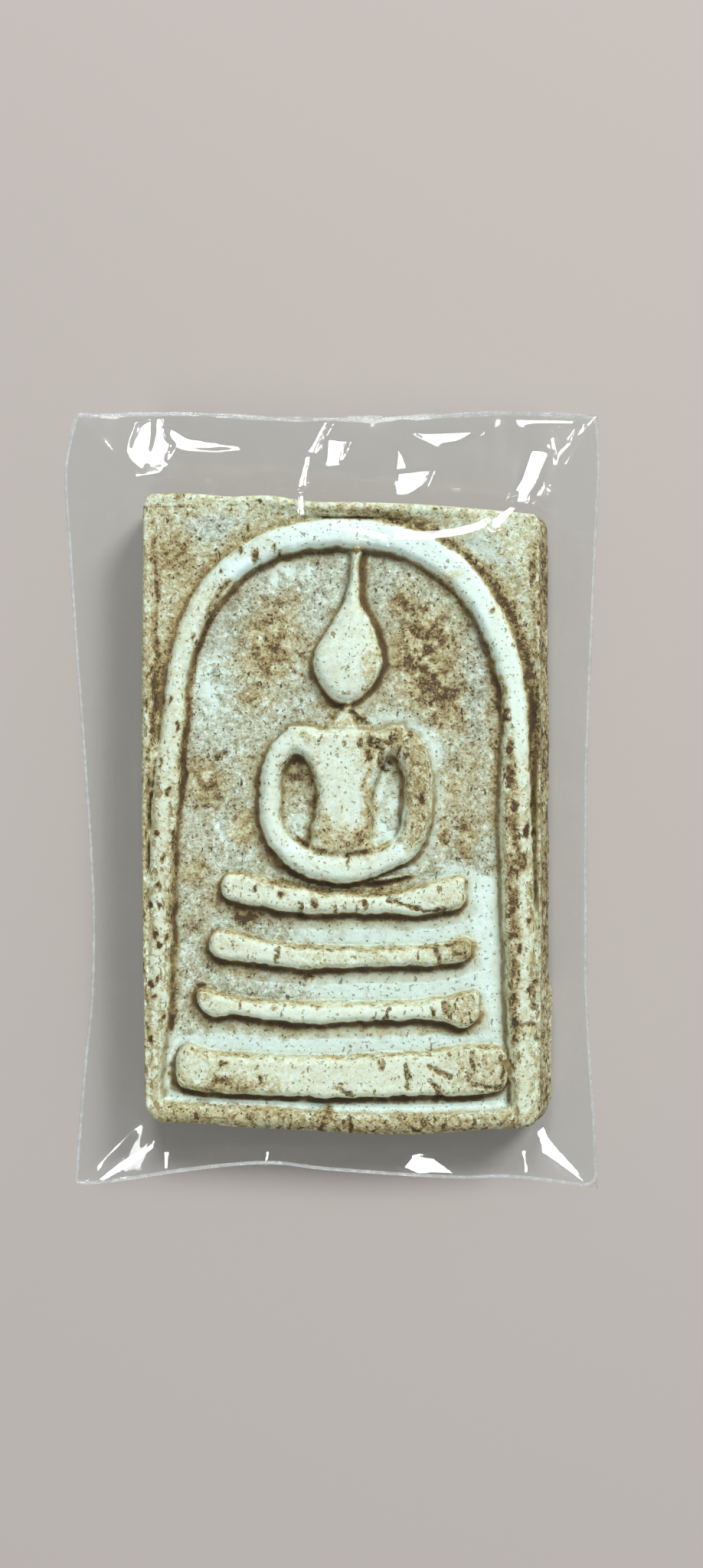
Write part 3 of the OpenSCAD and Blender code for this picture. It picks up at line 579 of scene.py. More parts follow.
# How pitted each form is: the legs of the arch and the rims most, the figure least
pits = 0.28 + 0 * x
pits = mix(pits, 0.3, outside * over_spring)
pits = mix(pits, 0.34 + 0.24 * ease((x - 3) / 4), ease(-np.min(tier_gaps, axis=0) / 0.2))
pits = mix(pits, 0.74 - 0.36 * ease((y - 16.5) / 1), ease(-rim_gap / 0.2))
flank = ease(1 - np.abs(arch_gap + 0.36) / 0.3)
pits = mix(pits, mix(0.36, 0.60 + 0.4 * flank, legs), ease(-arch_gap / 0.2))
pits = mix(pits, 0.24 + 0.52 * ease((x - 2.2) / 1.2) * ease((y + 2.6) / 1.2), ease(-body_gap / 0.2))
pits = mix(pits, 0.3, ease(-head_gap / 0.2))

# Distance to the nearest crack, along lines that shake. A hairline's half width is below 0, so
# that only its middle reaches the tone of a crack.
crack = np.full(x.shape, no_crack)
shaky_x = x + 0.14 * speckle(x, y, 0.35, 8)
shaky_y = y + 0.14 * speckle(x, y, 0.35, 9)
crack_half_w, hairline_half_w = 0.05, -0.04
for half, lines in ((crack_half_w, CRACKS), (hairline_half_w, THIN_CRACKS)):
    for line in lines:
        path = [(px, py, half) for px, py in line]
        crack = np.minimum(crack, path_gap(shaky_x, shaky_y, path))
crack = crack - 0.06 * speckle(x, y, 0.4, 29)

# Grain, lumps, a groove at each foot and the cracks
grainy = ease((soil_and_shade - 0.2) / 0.4)
height = height + crown * raised * 0.5
height = height + (0.012 + 0.02 * grainy) * speckle(x, y, 0.24, 10) * edge_drop
height = height + 0.02 * speckle(x, y, 0.6, 11) * edge_drop
height = height - 0.07 * ease(1 - np.abs(foot - 0.06) / 0.2) * (height < 0.6)
height = height - (0.10 * ease(1 - crack / 0.12) + 0.10 * hole + 0.12 * furrow) * edge_drop
top_z = base_z + plate_t + height

# Sides down to the back: rings of points that spread by the lean and round under at the foot
grid_rows, grid_cols = x.shape
number = np.arange(grid_rows * grid_cols).reshape(grid_rows, grid_cols)
border = np.concatenate([number[0, :-1], number[:-1, -1], number[-1, :0:-1], number[:0:-1, 0]])
bu, bv = u.ravel()[border], v.ravel()[border]
edge_z = top_z.ravel()[border]
side_rings = 9
under_r = 0.3
around = np.arange(len(border)) * cell
on_right = ease((bu - 0.995) / 0.005) * ease((-9.4 - y.ravel()[border]) / 1.8) * ease(
    (17.6 + y.ravel()[border]) / 0.8)
# The sides lean out over the upper 1 / lean_rate of their height
lean_rate = 1.7
points = []
hidden = {name: [] for name in ("soil_and_shade", "foot", "pits", "dirt_and_shade_line", "crack")}


def keep_ring(place, soil_here, pits_here, crack_here):
    """Keeps a ring of points and what the material reads there."""
    points.append(place)
    hidden["soil_and_shade"].append(soil_here)
    hidden["pits"].append(0 * soil_here + pits_here)
    hidden["crack"].append(0 * soil_here + crack_here)
    hidden["foot"].append(0 * soil_here + no_foot)
    hidden["dirt_and_shade_line"].append(0 * soil_here + no_line)


for ring in range(1, side_rings + 1):
    share = ring / side_rings
    rx, ry = tablet_plan(bu, bv, ease(share * lean_rate))
    rz = mix(edge_z, base_z + under_r * (share < 1), share)
    layer = ease((share - 0.45) / 0.15)
    rough = 0.05 * speckle(around, rz * 3, 0.8, 12) + 0.03 * speckle(around, rz * 4, 0.3, 13)
    tuck = under_r * (share == 1)
    spread = 1 + (rough - tuck + 0.34 * on_right * layer) / np.hypot(rx, ry)
    side_soil = 0.62 + 0.2 * speckle(around, rz * 2, 1.6, 14) - 0.3 * on_right * layer
    side_crack = np.where(on_right > 0.3, np.abs(share - 0.5) * 4, no_crack)
    keep_ring(np.column_stack([rx * spread, ry * spread, rz]), side_soil, 0.7, side_crack)
# Back: the last ring drawn in step by step to the middle, trowelled nearly flat
back_rings = 8
back_dent, back_soil, back_pits = 0.05, 0.36, 0.5
last_x, last_y = points[-1][:, 0], points[-1][:, 1]
for ring in range(1, back_rings):
    share = ring / back_rings
    rx, ry = last_x * (1 - share), last_y * (1 - share)
    dent = back_dent + 0.04 * speckle(rx, ry, 1.5, 15) + 0.015 * speckle(rx, ry, 0.5, 16)
    back = np.column_stack([rx, ry, base_z + dent * ease(share * 6)])
    keep_ring(back, back_soil + 0.16 * speckle(rx, ry, 2.5, 17), back_pits, no_crack)


def ring_faces(first, second):
    """Quads between two closed rings of equally many points, given by their numbers."""
    return np.column_stack([first, np.roll(first, -1), np.roll(second, -1), second])


def build_mesh(name, points, quads, triangles=()):
    """Mesh object at the origin from points in millimetres, with smooth shading."""
    mesh = bpy.data.meshes.new(name)
    faces = [list(map(int, face)) for face in quads] + [list(map(int, face)) for face in triangles]
    mesh.from_pydata((np.asarray(points) * mm).tolist(), [], faces)
    mesh.polygons.foreach_set("use_smooth", np.ones(len(mesh.polygons), bool))
    mesh.update()
    piece = bpy.data.objects.new(name, mesh)
    scene.collection.objects.link(piece)
    return piece


def paint(piece, name, values):
    """Stores one number for each point of a piece under a name that its material reads."""
    layer = piece.data.attributes.new(name, "FLOAT", "POINT")
    layer.data.foreach_set("value", np.asarray(values, np.float32).ravel())


face_points = np.column_stack([x.ravel(), y.ravel(), top_z.ravel()])
count = len(border)
rings = [border] + [len(face_points) + k * count + np.arange(count) for k in range(len(points))]
centre = len(face_points) + len(points) * count
all_points = np.concatenate([face_points, *points, [[0, 0, base_z + back_dent]]])
all_points[:, 0] += middle_x
all_points[:, 1] += middle_y
face_quads = np.column_stack([number[:-1, :-1].ravel(), number[:-1, 1:].ravel(),
                              number[1:, 1:].ravel(), number[1:, :-1].ravel()])
walls = np.concatenate([ring_faces(b, a) for a, b in zip(rings[:-1], rings[1:])])
cap = np.column_stack([np.roll(rings[-1], -1), rings[-1], np.full(count, centre)])
tablet = build_mesh("pressed_tablet", all_points, np.concatenate([face_quads, walls]), cap)
side_ochre = np.full(len(all_points) - ochre.size, 0.6)
paint(tablet, "ochre", np.concatenate([ochre.ravel(), side_ochre]))
for name, on_face, at_centre in (
    ("soil_and_shade", soil_and_shade, back_soil), ("foot", foot, no_foot), ("pits", pits, back_pits),
    ("dirt_and_shade_line", dirt_and_shade_line, no_line), ("crack", crack, no_crack),
):
    paint(tablet, name, np.concatenate([on_face.ravel(), *hidden[name], [at_centre]]))


def add(tree, kind, output=0, **settings):
    """Adds a node. A setting with a capital is an input, by its name or by its number after In, and
    takes a value or another node's output. Any other setting is a property. Returns one output."""
    node = tree.nodes.new(kind)
    for key, value in settings.items():
        if not key[0].isupper():
            setattr(node, key, value)
            continue
        by_number = key.startswith("In")
        socket = node.inputs[int(key[2:]) if by_number else key.replace("_", " ")]
        if isinstance(value, bpy.types.NodeSocket):
            tree.links.new(value, socket)
        else:
            socket.default_value = value
    return node.outputs[output]


def calc(tree, operation, a, b=0.0):
    """Result of one step of arithmetic on two numbers."""
    return add(tree, "ShaderNodeMath", operation=operation, In0=a, In1=b)


def times(tree, a, b):
    """Product of two numbers."""
    return calc(tree, "MULTIPLY", a, b)


def plus(tree, a, b):
    """Sum of two numbers."""
    return calc(tree, "ADD", a, b)


def minus(tree, a, b):
    """The first number less the second."""
    return calc(tree, "SUBTRACT", a, b)


def larger(tree, a, b):
    """The larger of two numbers."""
    return calc(tree, "MAXIMUM", a, b)


def between(tree, value, low, high, to_low=0.0, to_high=1.0):
    """Smooth step of a value from low to high."""
    return add(tree, "ShaderNodeMapRange", interpolation_type="SMOOTHSTEP", In0=value, In1=low,
               In2=high, In3=to_low, In4=to_high)


def tint(tree, share, a, b):
    """Colour a turned into colour b by a share."""
    return add(tree, "ShaderNodeMix", output=2, data_type="RGBA", In0=share, In6=a, In7=b)


def millimetres(tree, scale=(1, 1, 1)):
    """Object coordinates in millimetres, drawn out or pressed together along each axis."""
    place = add(tree, "ShaderNodeTexCoord", output=3)
    return add(tree, "ShaderNodeMapping", Vector=place, Scale=[1000 * s for s in scale])


def noise(tree, place, scale, detail, roughness=0.55):
    """Cloudy noise, with `scale` clouds to the millimetre."""
    return add(tree, "ShaderNodeTexNoise", Vector=place, Scale=scale, Detail=detail,
               Roughness=roughness)


def cells(tree, place, scale, feature="F1", output=1):
    """Grains with `scale` of them to the millimetre: one random tone for each, or the distance to
    the border between two of them."""
    return add(tree, "ShaderNodeTexVoronoi", output=output, feature=feature, Vector=place, Scale=scale)


def attribute(tree, name):
    """A number stored on the piece."""
    return add(tree, "ShaderNodeAttribute", output=2, attribute_name=name)


def new_material(name):
    """An empty node material and its output's surface socket."""
    material = bpy.data.materials.new(name)
    material.use_nodes = True
    material.node_tree.nodes.clear()
    out = material.node_tree.nodes.new("ShaderNodeOutputMaterial")
    return material, material.node_tree, out.inputs["Surface"]


# Powder: white where it was touched little, through cream and ochre to brown where dirt sank in and
# where shade is painted
powder, tree, surface = new_material("aged_powder")
place = millimetres(tree)
cloud = noise(tree, place, 1.15, 3, 0.6)
mid = noise(tree, place, 2.7, 3, 0.6)
fine = noise(tree, place, 6.5, 2, 0.6)
soil_and_shade_in = attribute(tree, "soil_and_shade")
foot_in = attribute(tree, "foot")
pits_in = attribute(tree, "pits")
line_in = attribute(tree, "dirt_and_shade_line")
crack_in = attribute(tree, "crack")


def swing(tree, value, amount):
    """A cloud's value, from -amount / 2 to amount / 2 instead of 0 to 1."""
    return times(tree, minus(tree, value, 0.5), amount)


# Uneven dirt and painted shade: the stored amount broken up by clouds and by grains of powder, more
# where there is more, with a pale net between lumps of the ground
shaken = add(tree, "ShaderNodeTexNoise", output=1, Vector=place, Scale=2.2, Detail=3)
shaken = add(tree, "ShaderNodeVectorMath", operation="MULTIPLY_ADD", In0=shaken,
             In1=(0.9, 0.9, 0.9), In2=place)
grit = cells(tree, shaken, 5.5)
crumbs = cells(tree, shaken, 11.0)
rough_part = between(tree, pits_in, 0.45, 0.9)
unevenness = between(tree, soil_and_shade_in, 0.05, 0.36, 0.16, 1.0)
calmer = minus(tree, 1.0, times(tree, rough_part, 0.45))
unevenness = times(tree, unevenness, calmer)
mottle = plus(tree, swing(tree, cloud, 0.8), swing(tree, mid, 1.15))
mottle = plus(tree, mottle, swing(tree, fine, 0.8))
mottle = plus(tree, mottle, swing(tree, grit, 0.34))
mottle = plus(tree, mottle, swing(tree, crumbs, 0.20))
net = between(tree, cells(tree, shaken, 2.1, "DISTANCE_TO_EDGE", 0), 0.02, 0.10, 0.13, 0.0)
mottle = minus(tree, mottle, times(tree, net, between(tree, cloud, 0.45, 0.55)))
dirt_and_shade = plus(tree, soil_and_shade_in, times(tree, mottle, unevenness))

# Chips drawn out along the tablet where the powder is pitted, flakes lost round them, fine cracks
# between flakes, and small dark grains
drawn_out = noise(tree, millimetres(tree, (1, 0.5, 1)), 2.5, 3, 0.55)
chip_from = minus(tree, 0.705, times(tree, pits_in, 0.135))
chip = between(tree, minus(tree, drawn_out, chip_from), -0.006, 0.03)
flaky = noise(tree, millimetres(tree, (1.4, 0.7, 1)), 1.3, 4, 0.65)
flake = times(tree, between(tree, flaky, 0.51, 0.57), rough_part)
crazed = between(tree, cells(tree, shaken, 1.15, "DISTANCE_TO_EDGE", 0), 0.01, 0.14, 1.0, 0.0)
crazed = times(tree, times(tree, crazed, rough_part), between(tree, mid, 0.38, 0.54))
grains = noise(tree, place, 4.4, 1)
grain = between(tree, plus(tree, grains, times(tree, pits_in, 0.03)), 0.655, 0.72)
mark = larger(tree, times(tree, chip, 0.54), times(tree, grain, 0.40))
mark = larger(tree, mark, times(tree, crazed, 0.40))
dirt_and_shade = plus(tree, dirt_and_shade, larger(tree, mark, times(tree, flake, 0.26)))

# Brown at each foot, partly dirt and partly painted shade, wider where the foot faces away from the
# key lamp: a smooth dark core and a pale fringe that thins out over the ground beside it
wavy_foot = plus(tree, foot_in, swing(tree, mid, 0.12))
line_w = times(tree, line_in, between(tree, cloud, 0.35, 0.65, 0.60, 0.86))
outwards = calc(tree, "DIVIDE", wavy_foot, line_w)
core = between(tree, outwards, 0.30, 0.95, 1.0, 0.0)
fringe = between(tree, outwards, 0.3, 2.3, 0.42, 0.0)
broken = between(tree, cloud, 0.34, 0.5, 0.85, 1.0)
foot_dirt_and_shade = larger(tree, times(tree, core, broken), fringe)
foot_dirt_and_shade = times(tree, foot_dirt_and_shade, between(tree, wavy_foot, -0.15, 0.02))
foot_dirt_and_shade = times(tree, foot_dirt_and_shade, calc(tree, "POWER", line_in, 0.5))
to_full = larger(tree, minus(tree, 0.97, dirt_and_shade), 0.0)
dirt_and_shade = plus(tree, dirt_and_shade, times(tree, foot_dirt_and_shade, to_full))

# Cracks are filled with the same brown
wavy_crack = plus(tree, crack_in, plus(tree, swing(tree, fine, 0.16), swing(tree, mid, 0.45)))
crack_line = between(tree, wavy_crack, 0.0, 0.15, 1.0, 0.0)
crack_line = times(tree, crack_line, between(tree, grit, 0.3, 0.6, 0.62, 1.0))
dirt_and_shade = larger(tree, dirt_and_shade, times(tree, crack_line, 0.98))
brown = larger(tree, larger(tree, foot_dirt_and_shade, flake), crack_line)


def ramp_colours(tree, share, stops):
    """Colour ramp from (place, colour) stops."""
    ramp = tree.nodes.new("ShaderNodeValToRGB")
    tree.links.new(share, ramp.inputs[0])
    while len(ramp.color_ramp.elements) < len(stops):
        ramp.color_ramp.elements.new(0.5)
    for stop, (position, colour) in zip(ramp.color_ramp.elements, stops):
        stop.position = position
        stop.color = (*colour, 1)
    return ramp.outputs[0]


# Colours from clean powder at 0 to the deepest dirt and painted shade at 1, in a grey and in an ochre
# range
GREY_DIRT_AND_SHADE = [
    (0.00, (0.80, 0.97, 0.94)), (0.12, (0.71, 0.85, 0.76)), (0.30, (0.58, 0.65, 0.53)),
    (0.50, (0.43, 0.465, 0.35)), (0.70, (0.28, 0.28, 0.19)), (0.86, (0.16, 0.135, 0.075)),
    (1.00, (0.085, 0.065, 0.036)),
]
OCHRE_DIRT_AND_SHADE = [
    (0.00, (0.80, 0.95, 0.84)), (0.12, (0.74, 0.83, 0.66)), (0.30, (0.63, 0.64, 0.42)),
    (0.50, (0.49, 0.44, 0.235)), (0.70, (0.345, 0.27, 0.12)), (0.86, (0.19, 0.13, 0.05)),
    (1.00, (0.085, 0.052, 0.024)),
]
hue = plus(tree, attribute(tree, "ochre"),
           plus(tree, swing(tree, mid, 0.45), swing(tree, grit, 0.15)))
hue = plus(tree, hue, times(tree, brown, 0.5))
hue = between(tree, hue, 0.1, 0.9)
colour = tint(tree, hue, ramp_colours(tree, dirt_and_shade, GREY_DIRT_AND_SHADE), ramp_colours(tree, dirt_and_shade, OCHRE_DIRT_AND_SHADE))

relief = plus(tree, times(tree, fine, 0.5), times(tree, mid, 0.9))
relief = times(tree, relief, between(tree, soil_and_shade_in, 0.05, 0.35, 0.35, 1.0))
relief = minus(tree, relief, plus(tree, mark, times(tree, flake, 0.3)))
relief = minus(tree, relief, crack_line)
bump = add(tree, "ShaderNodeBump", Height=relief, Strength=0.9, Distance=0.11 * mm)
shader = add(tree, "ShaderNodeBsdfPrincipled", Base_Color=colour, Roughness=0.78, Normal=bump,
             Specular_IOR_Level=0.35)
tree.links.new(shader, surface)
tablet.data.materials.append(powder)
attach(tablet, "root")
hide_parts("tablet")

# Front film
# Thin clear film, drawn over the face of the tablet and down to the seam. It is stiff enough to
# stand in pleats: they run from the tablet's edges and corners to the seam and catch the lamps.
# All places are millimetres from the middle of the sleeve.
sleeve_low, sleeve_high = (np.array(corner) / mm * (1.01, 1.01, 1) for corner in cad_box)
seam_z = (sleeve_low[2] + sleeve_high[2]) / 2
cover_z = sleeve_high[2] - 0.20
# The film's thickness is seam_t at the seam, and film_t more from seam_w inside it
film_t, seam_t, seam_w = 0.08, 0.02, 0.4
edge_softness = 0.05
pleat_h, crimp_h = 0.05, 0.10
# Insets of the waisted long edges from the sleeve's box: y, left, right
LONG_EDGES = [
    (-23.1, 0.60, 0.13), (-19.0, 0.90, 0.30), (-16.2, 1.13, 0.51), (-11.1, 1.60, 0.74),
    (-5.1, 1.60, 0.77), (1.8, 1.18, 0.74), (8.3, 0.70, 0.51), (15.2, 0.24, 0.22),
    (19.8, 0.00, 0.00), (23.1, 0.61, 0.13),
]
# Insets of the uneven ends: x, bottom, top
SHORT_EDGES = [
    (-15.9, 0.33, 0.20), (-14.0, 0.26, 0.10), (-8.3, 1.09, 0.02), (-3.8, 1.45, 0.29),
    (0.0, 1.06, 0.34), (7.3, 0.59, 0.10), (10.8, 0.63, 0.00), (15.9, 0.00, 0.20),
]
# Pleats: a line of x, y, height over the slope and half width
FOLDS = [
    [(11.5, 18.6, 0.14, 0.8), (10.9, 17.3, 0.20, 0.8), (10.15, 16.5, 0.22, 0.9), (8.6, 15.6, 0.22, 0.9),
     (6.2, 15.1, 0.22, 0.95), (3.2, 15.05, 0.22, 0.95), (1.2, 15.3, 0.05, 0.8)],
]
# Flat facets between sharp creases: fall to the right and to the top end, then the corners in turn
# to the left, from the one where the facet leaves the slope
FACETS = [
    (0.03, 0.22, [(-11.6, 19.0), (-10.0, 19.2), (-9.4, 21.0), (-9.9, 22.9), (-11.9, 22.6),
                  (-12.4, 20.6)]),
    (0.04, 0.28, [(-11.1, 19.3), (-10.6, 21.4), (-10.6, 22.8), (-11.4, 22.4),
                  (-11.9, 21.1), (-11.9, 20.0)]),
    (0.03, 0.28, [(-8.8, 20.8), (-8.6, 21.7), (-9.95, 22.5), (-9.75, 21.4)]),
    (0.02, 0.28, [(-8.9, 20.8), (-5.4, 20.85), (-5.4, 21.1), (-8.9, 21.7)]),
    (-0.05, 0.31, [(3.4, 15.0), (3.5, 15.75), (0.3, 16.75), (-0.1, 16.1)]),
    (-0.11, 0.31, [(9.3, 15.9), (9.8, 15.8), (11.3, 17.4), (10.75, 17.75), (9.4, 16.7)]),
    (-0.12, 0.30, [(10.7, 17.4), (11.3, 17.3), (12.2, 19.0), (11.5, 19.3)]),
    (-0.03, 0.30, [(-1.95, 16.7), (-1.45, 16.8), (-1.55, 18.4), (-2.2, 18.4)]),
    (-0.03, 0.28, [(-2.2, 18.2), (-1.6, 18.2), (-1.05, 20.65), (-1.65, 20.65)]),
    (-0.03, 0.28, [(-1.65, 20.5), (-1.05, 20.5), (0.0, 22.7), (-0.6, 22.7)]),
    (-0.03, 0.28, [(-0.39, 19.8), (0.43, 19.8), (1.03, 21.5), (-0.43, 21.6)]),
    (-0.06, 0.28, [(3.7, 19.3), (4.95, 19.35), (4.36, 20.4), (3.86, 22.2)]),
    (-0.07, 0.28, [(3.8, 18.05), (4.8, 18.0), (5.55, 18.5), (5.95, 19.6), (3.75, 19.4)]),
    (-0.08, 0.28, [(6.19, 21.05), (7.65, 21.25), (8.97, 22.05), (4.8, 22.0)]),
    (-0.11, 0.28, [(11.2, 22.35), (14.8, 22.3), (14.8, 22.8), (11.1, 22.9)]),
    (-0.12, 0.28, [(13.2, 19.8), (13.45, 21.1), (13.25, 22.2), (12.9, 21.0)]),
    (-0.12, 0.28, [(13.95, 21.45), (14.15, 21.35), (14.95, 22.6), (14.7, 22.7)]),
    (-0.11, 0.28, [(10.7, 17.5), (11.3, 17.4), (12.1, 18.4), (13.1, 20.7), (11.7, 20.9),
                   (11.0, 18.7)]),
    (0.06, -0.41, [(-10.5, -20.0), (-12.6, -21.2), (-14.3, -22.6), (-13.7, -22.95),
                   (-11.9, -21.9), (-10.3, -20.6)]),
    (0.03, -0.41, [(-9.5, -20.8), (-10.1, -20.8), (-10.15, -22.2), (-9.6, -22.2)]),
    (-0.01, -0.41, [(-3.5, -20.8), (-4.05, -20.8), (-4.25, -21.9), (-3.75, -21.9)]),
    (-0.11, -0.41, [(12.4, -19.1), (11.8, -19.4), (12.4, -21.0), (14.9, -22.95),
                    (15.4, -22.7), (13.7, -20.7)]),
    (-0.10, -0.41, [(11.6, -20.6), (11.1, -20.6), (11.3, -22.4), (11.9, -22.4)]),
    (-0.06, -0.41, [(4.9, -20.95), (3.9, -21.9), (5.0, -22.45), (7.9, -22.4), (6.1, -21.1)]),
]


def sleeve_edges(px, py):
    """The four edges of the sleeve beside a place: left and right at its height, bottom and top
    across from it, each a smooth curve through the tables of insets."""
    long_edges = curve(LONG_EDGES, 160)
    short_edges = curve(SHORT_EDGES, 120)
    left = sleeve_low[0] + np.interp(py, long_edges[:, 0], long_edges[:, 1])
    right = sleeve_high[0] - np.interp(py, long_edges[:, 0], long_edges[:, 2])
    bottom = sleeve_low[1] + np.interp(px, short_edges[:, 0], short_edges[:, 1])
    top = sleeve_high[1] - np.interp(px, short_edges[:, 0], short_edges[:, 2])
    return left, right, bottom, top


def film_slope(px, py, seed):
    """Height of a film over the seam without its folds and facets, the distance to the seam, and
    how smooth the film is. It is flat over the tablet. From the tablet's edge it falls evenly to
    the seam, as 1 less the share of the way, with short pleats across the edge that follow smooth
    random heights."""
    clear = 0.25
    bl, br, tr, tl = (CORNERS[name] for name in ("bottom left", "bottom right", "top right", "top left"))
    up = (py - middle_y + half_l) / (2 * half_l)
    across = (px - middle_x + half_w) / (2 * half_w)
    left = middle_x + mix(bl[0], tl[0], up) * half_w - clear
    right = middle_x + mix(br[0], tr[0], up) * half_w + clear
    bottom = middle_y + mix(bl[1], br[1], across) * half_l - clear
    top = middle_y + mix(tl[1], tr[1], across) * half_l + clear
    round_r = 1.2
    out_x = np.maximum(left - px, px - right) + round_r
    out_y = np.maximum(bottom - py, py - top) + round_r
    beyond = np.hypot(np.maximum(out_x, 0), np.maximum(out_y, 0)) - round_r
    beyond = beyond + np.minimum(np.maximum(out_x, out_y), 0)
    from_tablet = np.maximum(beyond, 0)
    edges = sleeve_edges(px, py)
    from_sides = np.minimum(px - edges[0], edges[1] - px)
    from_ends = np.minimum(py - edges[2], edges[3] - py)
    from_seam = np.maximum(np.minimum(from_sides, from_ends), 0)
    share = from_tablet / np.maximum(from_tablet + from_seam, 1e-6)
    soft = np.sqrt(share**2 + edge_softness**2) - edge_softness
    soft = soft / (np.sqrt(1 + edge_softness**2) - edge_softness)
    rise = (cover_z - seam_z) * (1 - soft)
    # Pleats stand across the edge: short along the ends and sides, long on the way to the seam
    on_end = np.abs(py - middle_y) / half_l > np.abs(px - middle_x) / half_w
    pleat = np.where(on_end, speckle(px, py / 4, 0.9, seed), speckle(px / 4, py, 0.9, seed + 1))
    loose = ease((beyond + 0.45) / 0.6) * ease(from_seam / 1.2)
    rise = rise + loose * (pleat_h * pleat + pleat_h * speckle(px, py, 2.2, seed + 2))
    # Where the film bends down over the edge it is crimped finely
    crimp = np.where(on_end, speckle(px, 0 * py, 0.5, seed + 3), speckle(0 * px, py, 0.7, seed + 4))
    rise = rise + crimp_h * crimp * ease(1 - np.abs(beyond - 0.15) / 0.6)
    # Scuffed where it lies on the powder, a little less on the slopes, and rubbed dull at the bend
    rubbed = ease(1.9 - 2 * np.abs(beyond - 0.2) / 0.9)
    return rise, from_seam, mix(0.22, 0.60, ease(beyond / 1.5)) * (1 - 0.95 * rubbed)


def film_height(px, py, folds, facets, seed):
    """Height of a film over the seam with its pleats. Across a fold's line the height goes as the
    square of (1 - d * d), where d is the distance in half widths. A facet is a plane that takes the
    slope's place inside a many-sided outline. The third result is how smooth the film is: 1 on the
    folds and facets, which stand clear of what rubs it."""
    rise, from_seam, smooth = film_slope(px, py, seed)
    creased = np.zeros(px.shape)
    for fold in folds:
        path = curve(fold, 6 * len(fold))
        best = np.full(px.shape, 9.0)
        lift = np.zeros(px.shape)
        for (ax, ay, ah, aw), (bx, by, bh, bw) in zip(path[:-1], path[1:]):
            dx, dy = bx - ax, by - ay
            along = np.clip(((px - ax) * dx + (py - ay) * dy) / (dx * dx + dy * dy + 1e-12), 0, 1)
            reach = np.hypot(px - ax - along * dx, py - ay - along * dy)
            reach = reach / np.maximum(mix(aw, bw, along), 0.05)
            lift = np.where(reach < best, mix(ah, bh, along), lift)
            best = np.minimum(best, reach)
        rise = rise + lift * np.clip(1 - best**2, 0, 1) ** 2
        creased = np.maximum(creased, ease(1.2 - best))
    for fall_x, fall_y, corners in facets:
        start = film_slope(np.array([corners[0][0]]), np.array([corners[0][1]]), seed)[0]
        plane = start[0] - fall_x * (px - corners[0][0]) - fall_y * (py - corners[0][1])
        share = np.ones(px.shape)
        for (ax, ay), (bx, by) in zip(corners, corners[1:] + corners[:1]):
            inside = ((bx - ax) * (py - ay) - (by - ay) * (px - ax)) / np.hypot(bx - ax, by - ay)
            share = share * ease(inside / 0.15 + 0.5)
        rise = mix(rise, plane, share)
        creased = np.maximum(creased, share)
    return rise, from_seam, mix(smooth, 1, creased)


def graded(stops):
    """Places from the first stop to the last, with the spacing given for each stretch."""
    parts = [np.linspace(a, b, round((b - a) / step), endpoint=False)
             for (a, step), (b, _) in zip(stops[:-1], stops[1:])]
    return np.append(np.concatenate(parts), stops[-1][0])


def film_mesh(name, folds, facets, seed, side, across_steps, up_steps):
    """Closed film: an outer skin on a grid stretched to the sleeve's outline, an inner skin one
    thickness under it, and a strip that joins them round the edge. side is 1 for the front and -1
    for the back, whose height is measured downwards."""
    across, up = np.meshgrid(graded(across_steps), graded(up_steps))
    share_x = (across - across.min()) / (across.max() - across.min())
    share_y = (up - up.min()) / (up.max() - up.min())
    left, right, _, _ = sleeve_edges(across, up)
    _, _, bottom, top = sleeve_edges(mix(left, right, share_x), up)
    px, py = mix(left, right, share_x), mix(bottom, top, share_y)
    rise, from_seam, shine = film_height(px, py, folds, facets, seed)
    grown = ease(from_seam / seam_w)
    lip = 0.03 + 0.05 * grown
    under = rise + lip - film_t * grown - seam_t
    outer = np.column_stack([px.ravel(), py.ravel(), (seam_z + side * (rise + lip)).ravel()])
    inner = np.column_stack([px.ravel(), py.ravel(), (seam_z + side * under).ravel()])
    rows, cols = px.shape
    number = np.arange(rows * cols).reshape(rows, cols)
    quads = np.column_stack([number[:-1, :-1].ravel(), number[:-1, 1:].ravel(),
                             number[1:, 1:].ravel(), number[1:, :-1].ravel()])
    border = np.concatenate([number[0, :-1], number[:-1, -1], number[-1, :0:-1], number[:0:-1, 0]])
    strip = np.column_stack([np.roll(border, -1), border, border + rows * cols,
                             np.roll(border, -1) + rows * cols])
    faces = np.concatenate([quads, quads[:, ::-1] + rows * cols, strip])
    if side < 0:
        faces = faces[:, ::-1]
    piece = build_mesh(name, np.concatenate([outer, inner]), faces)
    paint(piece, "shine", np.concatenate([shine.ravel(), shine.ravel()]))
    return piece


front = film_mesh(
    "front_film_skin", FOLDS, FACETS, 21, 1,
    [(-16, 0.13), (16, 0.13)],
    [(-23.1, 0.14), (-18.4, 0.45), (14.9, 0.115), (23.1, 0.115)],
)


def slant_gloss(tree, normal):
    """Share of light that a clear film mirrors: 4% straight on, and the fifth power of (1 - cos) of
    the slant beside it. It is the same from either side of the skin."""
    facing = add(tree, "ShaderNodeLayerWeight", output=1, Blend=0.5, Normal=normal)
    return add(tree, "ShaderNodeMapRange", In0=calc(tree, "POWER", facing, 5.0), In3=0.04, In4=1.0)


